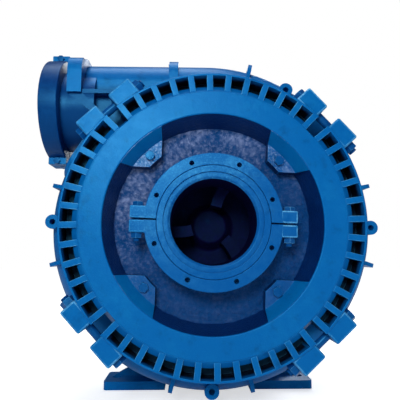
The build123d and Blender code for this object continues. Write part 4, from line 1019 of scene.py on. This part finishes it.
# %% Intake ring bolts and nuts
EAR_HEX, EAR_HEAD, EAR_NUT = 36.0, 15.0, 19.0
EAR_STEM, EAR_PAST_NUT = 12.0, 11.0
ear_head = bolt("ear_bolt", EAR_HEX, EAR_HEAD, EAR_STEM,
                reach=2 * EAR_HALF_HEIGHT + EAR_NUT + EAR_PAST_NUT, thread_length=40.0)
ear_nut = hexagon("nut", EAR_HEX, EAR_NUT, EAR_STEM - 1.0)
heads, nuts = [], []
for side in (1, -1):
    heads.append(another(ear_head, "head", move=(side * EAR_BOLT_X, RING_DEPTH / 2, EAR_HALF_HEIGHT)))
    nuts.append(facing(ear_nut, "nut", (side * EAR_BOLT_X, RING_DEPTH / 2, -EAR_HALF_HEIGHT), (0, 0, -1)))
ear_bolts = placed(gather("split_ring_bolt_set", heads), turn=(0.0, CLOCKING, 0.0))
ear_nuts = placed(gather("split_ring_nut_set", nuts), turn=(0.0, CLOCKING, 0.0))
dressed(ear_bolts, "painted_fasteners", "intake_ring_bolts")
dressed(ear_nuts, "painted_fasteners", "intake_ring_nuts")
put_away(ear_head, ear_nut)

# %% [markdown]
# Each pad holds a jacking bolt. Screwed in, it presses on the casing behind and drives the heavy door off.

# %% Jacking bolts on the door pads
JACK_HEX, JACK_HEAD = 31.0, 15.0
JACK_STEM, JACK_REACH = 9.0, 40.0
jack_head = bolt("jack_bolt", JACK_HEX, JACK_HEAD, JACK_STEM, JACK_REACH, thread_length=10.0)
heads = []
for k in range(4):
    ray, across = quarter_way(45.0 + 90.0 * k + CLOCKING)
    heads.append(facing(jack_head, "head", ray * PAD_BOLT_OUT + Vector((0.0, PAD_FACE_Y, 0.0)),
                        (0, -1, 0), spin=13.0 * k))
put_away(jack_head)
dressed(gather("door_jack_bolt_set", heads), "painted_fasteners", "door_pad_screws")

# %% [markdown]
# ## Split discharge ring
# The same idea as on the suction side, but turned to face left and with its bolts running front to back.
# It is drawn about the shaft line first, where the lathe helper works, then swung a quarter turn and moved
# to the end of the branch.

# %% Discharge ring halves
BRANCH_Z = 470.0
BRANCH_FACE_X = -645.0
BRANCH_RING_DEPTH = 70.0
BRANCH_EAR_HALF_WIDTH = 48.0
BRANCH_EAR_START, BRANCH_EAR_REACH = 192.0, 226.0
BRANCH_BOLT_OUT = 212.5
BRANCH_STUD_CIRCLE = 191.0
to_branch = {"turn": (0.0, 0.0, -90.0), "move": (BRANCH_FACE_X, BOWL_MIDDLE_Y, BRANCH_Z)}
branch_section = [
    (176.6, 0.0, 2), (205.0, 0.0, 5), (205.0, BRANCH_RING_DEPTH, 5), (160.6, BRANCH_RING_DEPTH, 2),
    (160.6, 53.6, 0), (176.6, 35.6, 0),
]
half_ring = half_of_ring(branch_section, -90.0, Vector((1.0, 0.0, 0.0)), BRANCH_STUD_CIRCLE)
# The ring's body takes the darker navy of painted shade; its ears keep the casing paint.
soften(half_ring, 1.6, segments=2, paint=shaded_neck_paint)
ears = []
for side in (1, -1):
    low_z, high_z = sorted((side * BRANCH_EAR_START, side * BRANCH_EAR_REACH))
    ear = block("ear", (SPLIT_HALF_GAP, 0.0, low_z), (BRANCH_EAR_HALF_WIDTH, BRANCH_RING_DEPTH, high_z))
    ear_hole = drum("ear_hole", (-10.0, BRANCH_RING_DEPTH / 2, side * BRANCH_BOLT_OUT), 9.0, 80.0, axis="X")
    carve(ear, ear_hole)
    soften(ear, 4.0, segments=4)
    ears.append(ear)
half_ring = gather("branch_ring_half", [half_ring] + ears)
front_ring = another(half_ring, "branch_ring_front", **to_branch)
turned_round = another(half_ring, "branch_ring_turned", turn=(0.0, 180.0, 0.0))
rear_ring = another(turned_round, "branch_ring_rear", **to_branch)
put_away(half_ring, turned_round)
dressed(front_ring, "casing_paint", "discharge_ring_front")
dressed(rear_ring, "casing_paint", "discharge_ring_rear")

# %% [markdown]
# These bolts run front to back. Their heads are turned until a flat faces outwards, because a corner would
# stick out past the ear.

# %% Discharge ring bolts and nuts
BRANCH_HEX, BRANCH_HEAD, BRANCH_NUT = 24.0, 10.0, 13.0
BRANCH_STEM, BRANCH_PAST_NUT = 8.0, 9.0
FLAT_OUT = 30.0
branch_head = bolt("branch_bolt", BRANCH_HEX, BRANCH_HEAD, BRANCH_STEM,
                   reach=2 * BRANCH_EAR_HALF_WIDTH + BRANCH_NUT + BRANCH_PAST_NUT, thread_length=30.0)
branch_nut = hexagon("nut", BRANCH_HEX, BRANCH_NUT, BRANCH_STEM - 1.0)
ring_middle_x = BRANCH_FACE_X + BRANCH_RING_DEPTH / 2
head_y, nut_y = BOWL_MIDDLE_Y - BRANCH_EAR_HALF_WIDTH, BOWL_MIDDLE_Y + BRANCH_EAR_HALF_WIDTH
heads, nuts = [], []
for side in (1, -1):
    bolt_z = BRANCH_Z + side * BRANCH_BOLT_OUT
    heads.append(facing(branch_head, "head", (ring_middle_x, head_y, bolt_z), (0, -1, 0), spin=FLAT_OUT))
    nuts.append(facing(branch_nut, "nut", (ring_middle_x, nut_y, bolt_z), (0, 1, 0), spin=FLAT_OUT))
dressed(gather("branch_bolt_set", heads), "painted_fasteners", "discharge_ring_bolts")
dressed(gather("branch_nut_set", nuts), "painted_fasteners", "discharge_ring_nuts")
put_away(branch_head, branch_nut)

# %% [markdown]
# ## The big castings
# The bowl, the frame and the bearing housing already have their true shapes in the frame, but every edge of a
# solid is knife sharp, and no casting is. A copy of each has its loose triangles merged into broad faces, and
# then all its edges are rounded as a moulder's fillets are. The frame's own nodes stay untouched.

# %% Rounded copies of the castings
slot_of = {subpart["node"]: subpart["material_slot"] for subpart in frame["record"]["subparts"]}
body_of = {node: body for body, members in frame["record"]["behaviour"]["bodies"].items() for node in members}


def recast(name, node_name, width):
    """A merged copy of a frame's node with rounded edges, in its own slot's finish."""
    piece = bpy.data.objects.new(name, nodes[node_name].data.copy())
    bpy.context.scene.collection.objects.link(piece)
    piece.data.materials.clear()
    open_up(piece)
    bpy.ops.mesh.remove_doubles(threshold=0.02 * MM)
    bpy.ops.mesh.dissolve_limited(angle_limit=math.radians(1.0))
    bpy.ops.object.mode_set(mode="OBJECT")
    slot = slot_of[node_name]
    paint = slot_materials[slot]
    # Painted castings and fasteners get the paler edge coat, part wear and part painted highlight.
    edge_coat = edge_wear_and_highlight if slot in ("casing_paint", "painted_fasteners") else paint
    soften(piece, width, segments=2, angle=40.0, paint=paint, edge_coat=edge_coat)
    return dressed(piece, slot, node_name, body=body_of[node_name])


bowl = recast("bowl_casting", "volute_bowl", 3.5)
for casting in (
        ("base_casting", "base_frame", 3.0), ("frame_plate_casting", "frame_plate", 3.0),
        ("housing_casting", "bearing_housing", 3.0), ("stuffing_box_casting", "stuffing_box", 1.5),
        ("front_strap_casting", "housing_strap_front", 2.0),
        ("rear_strap_casting", "housing_strap_rear", 2.0),
        ("front_cover_casting", "front_end_cover", 1.2), ("rear_cover_casting", "rear_end_cover", 1.2),
        ("left_gland_half", "gland_left", 1.2), ("right_gland_half", "gland_right", 1.2),
        ("impeller_casting", "impeller", 3.0)):
    recast(*casting)

# %% [markdown]
# The hoop's crown sits a little lower and further in than its plain solid, so its top corners are nudged.
# The neck behind the discharge ring and the hollow under the branch lie in shade, and that shade is painted:
# they turn a deep navy, while the hoop in front of them keeps the full blue. Each shaded patch is a soft box
# on the casting's own coordinates, in metres as shaders count, so its borders never show as steps.

# %% Neck and hoop
HOOP_TOP_Z, HOOP_LEFT, HOOP_RIGHT = 648.0, -552.0, -490.0
HOOP_SHIFT, HOOP_DROP = 8.0, 15.0
SHADE_NAVY = (0.0006, 0.034, 0.165)
open_up(bowl)
pick(bowl, "VERT", lambda vert: vert.co.z / MM > HOOP_TOP_Z and HOOP_LEFT < vert.co.x / MM < HOOP_RIGHT)
bpy.ops.transform.translate(value=(HOOP_SHIFT * MM, 0.0, -HOOP_DROP * MM))
bpy.ops.object.mode_set(mode="OBJECT")

bowl_paint = painted("bowl_paint", BLUE, BLUE_THIN)
bowl_tree = bowl_paint.node_tree
bowl_axes = object_axes(bowl_tree)


def soft_box(*sides):
    """The product of soft ramps, each given as (axis, where it is 0, where it is 1)."""
    share = 1.0
    for axis, none, full in sides:
        low, high = sorted((none, full))
        ramp = window(bowl_tree, bowl_axes[axis], low, high)
        if none > full:
            ramp = node_math(bowl_tree, "SUBTRACT", 1.0, ramp)
        share = node_math(bowl_tree, "MULTIPLY", share, ramp)
    return share


# Painted shade on the neck behind the ring and in the hollow under the branch.
neck_shade = soft_box(("X", -0.440, -0.500), ("Z", 0.625, 0.575), ("Z", 0.24, 0.33), ("Y", 0.108, 0.116))
hollow_shade = soft_box(("X", -0.22, -0.34), ("Z", 0.560, 0.520), ("Z", 0.30, 0.38), ("Y", 0.108, 0.116))
neck_and_hollow_shade = node_math(bowl_tree, "MAXIMUM", neck_shade, hollow_shade)
overlay(bowl_paint, neck_and_hollow_shade, SHADE_NAVY)
bowl.data.materials[0] = bowl_paint
print("bowl paint", len(bowl_tree.nodes), "nodes")

# %% [markdown]
# Bolts, nuts and the shaft behind the pump are turned and rolled steel. A machinist always breaks their sharp
# corners with a small chamfer, and that thin bright line is what makes a bolt look real.

# %% Chamfered steel at the back
for steel in (
        ("plate_stud_set", "frame_plate_studs", 0.8), ("plate_nut_set", "frame_plate_nuts", 1.2),
        ("strap_bolt_set", "strap_bolts", 1.2), ("cover_screw_set", "end_cover_screws", 1.0),
        ("gland_stud_set", "gland_studs", 0.8), ("gland_nut_set", "gland_nuts", 1.0),
        ("adjusting_nut_set", "adjusting_nuts", 1.2), ("adjusting_screw_bar", "adjusting_screw", 0.8),
        ("pump_shaft", "shaft", 1.5)):
    recast(*steel)
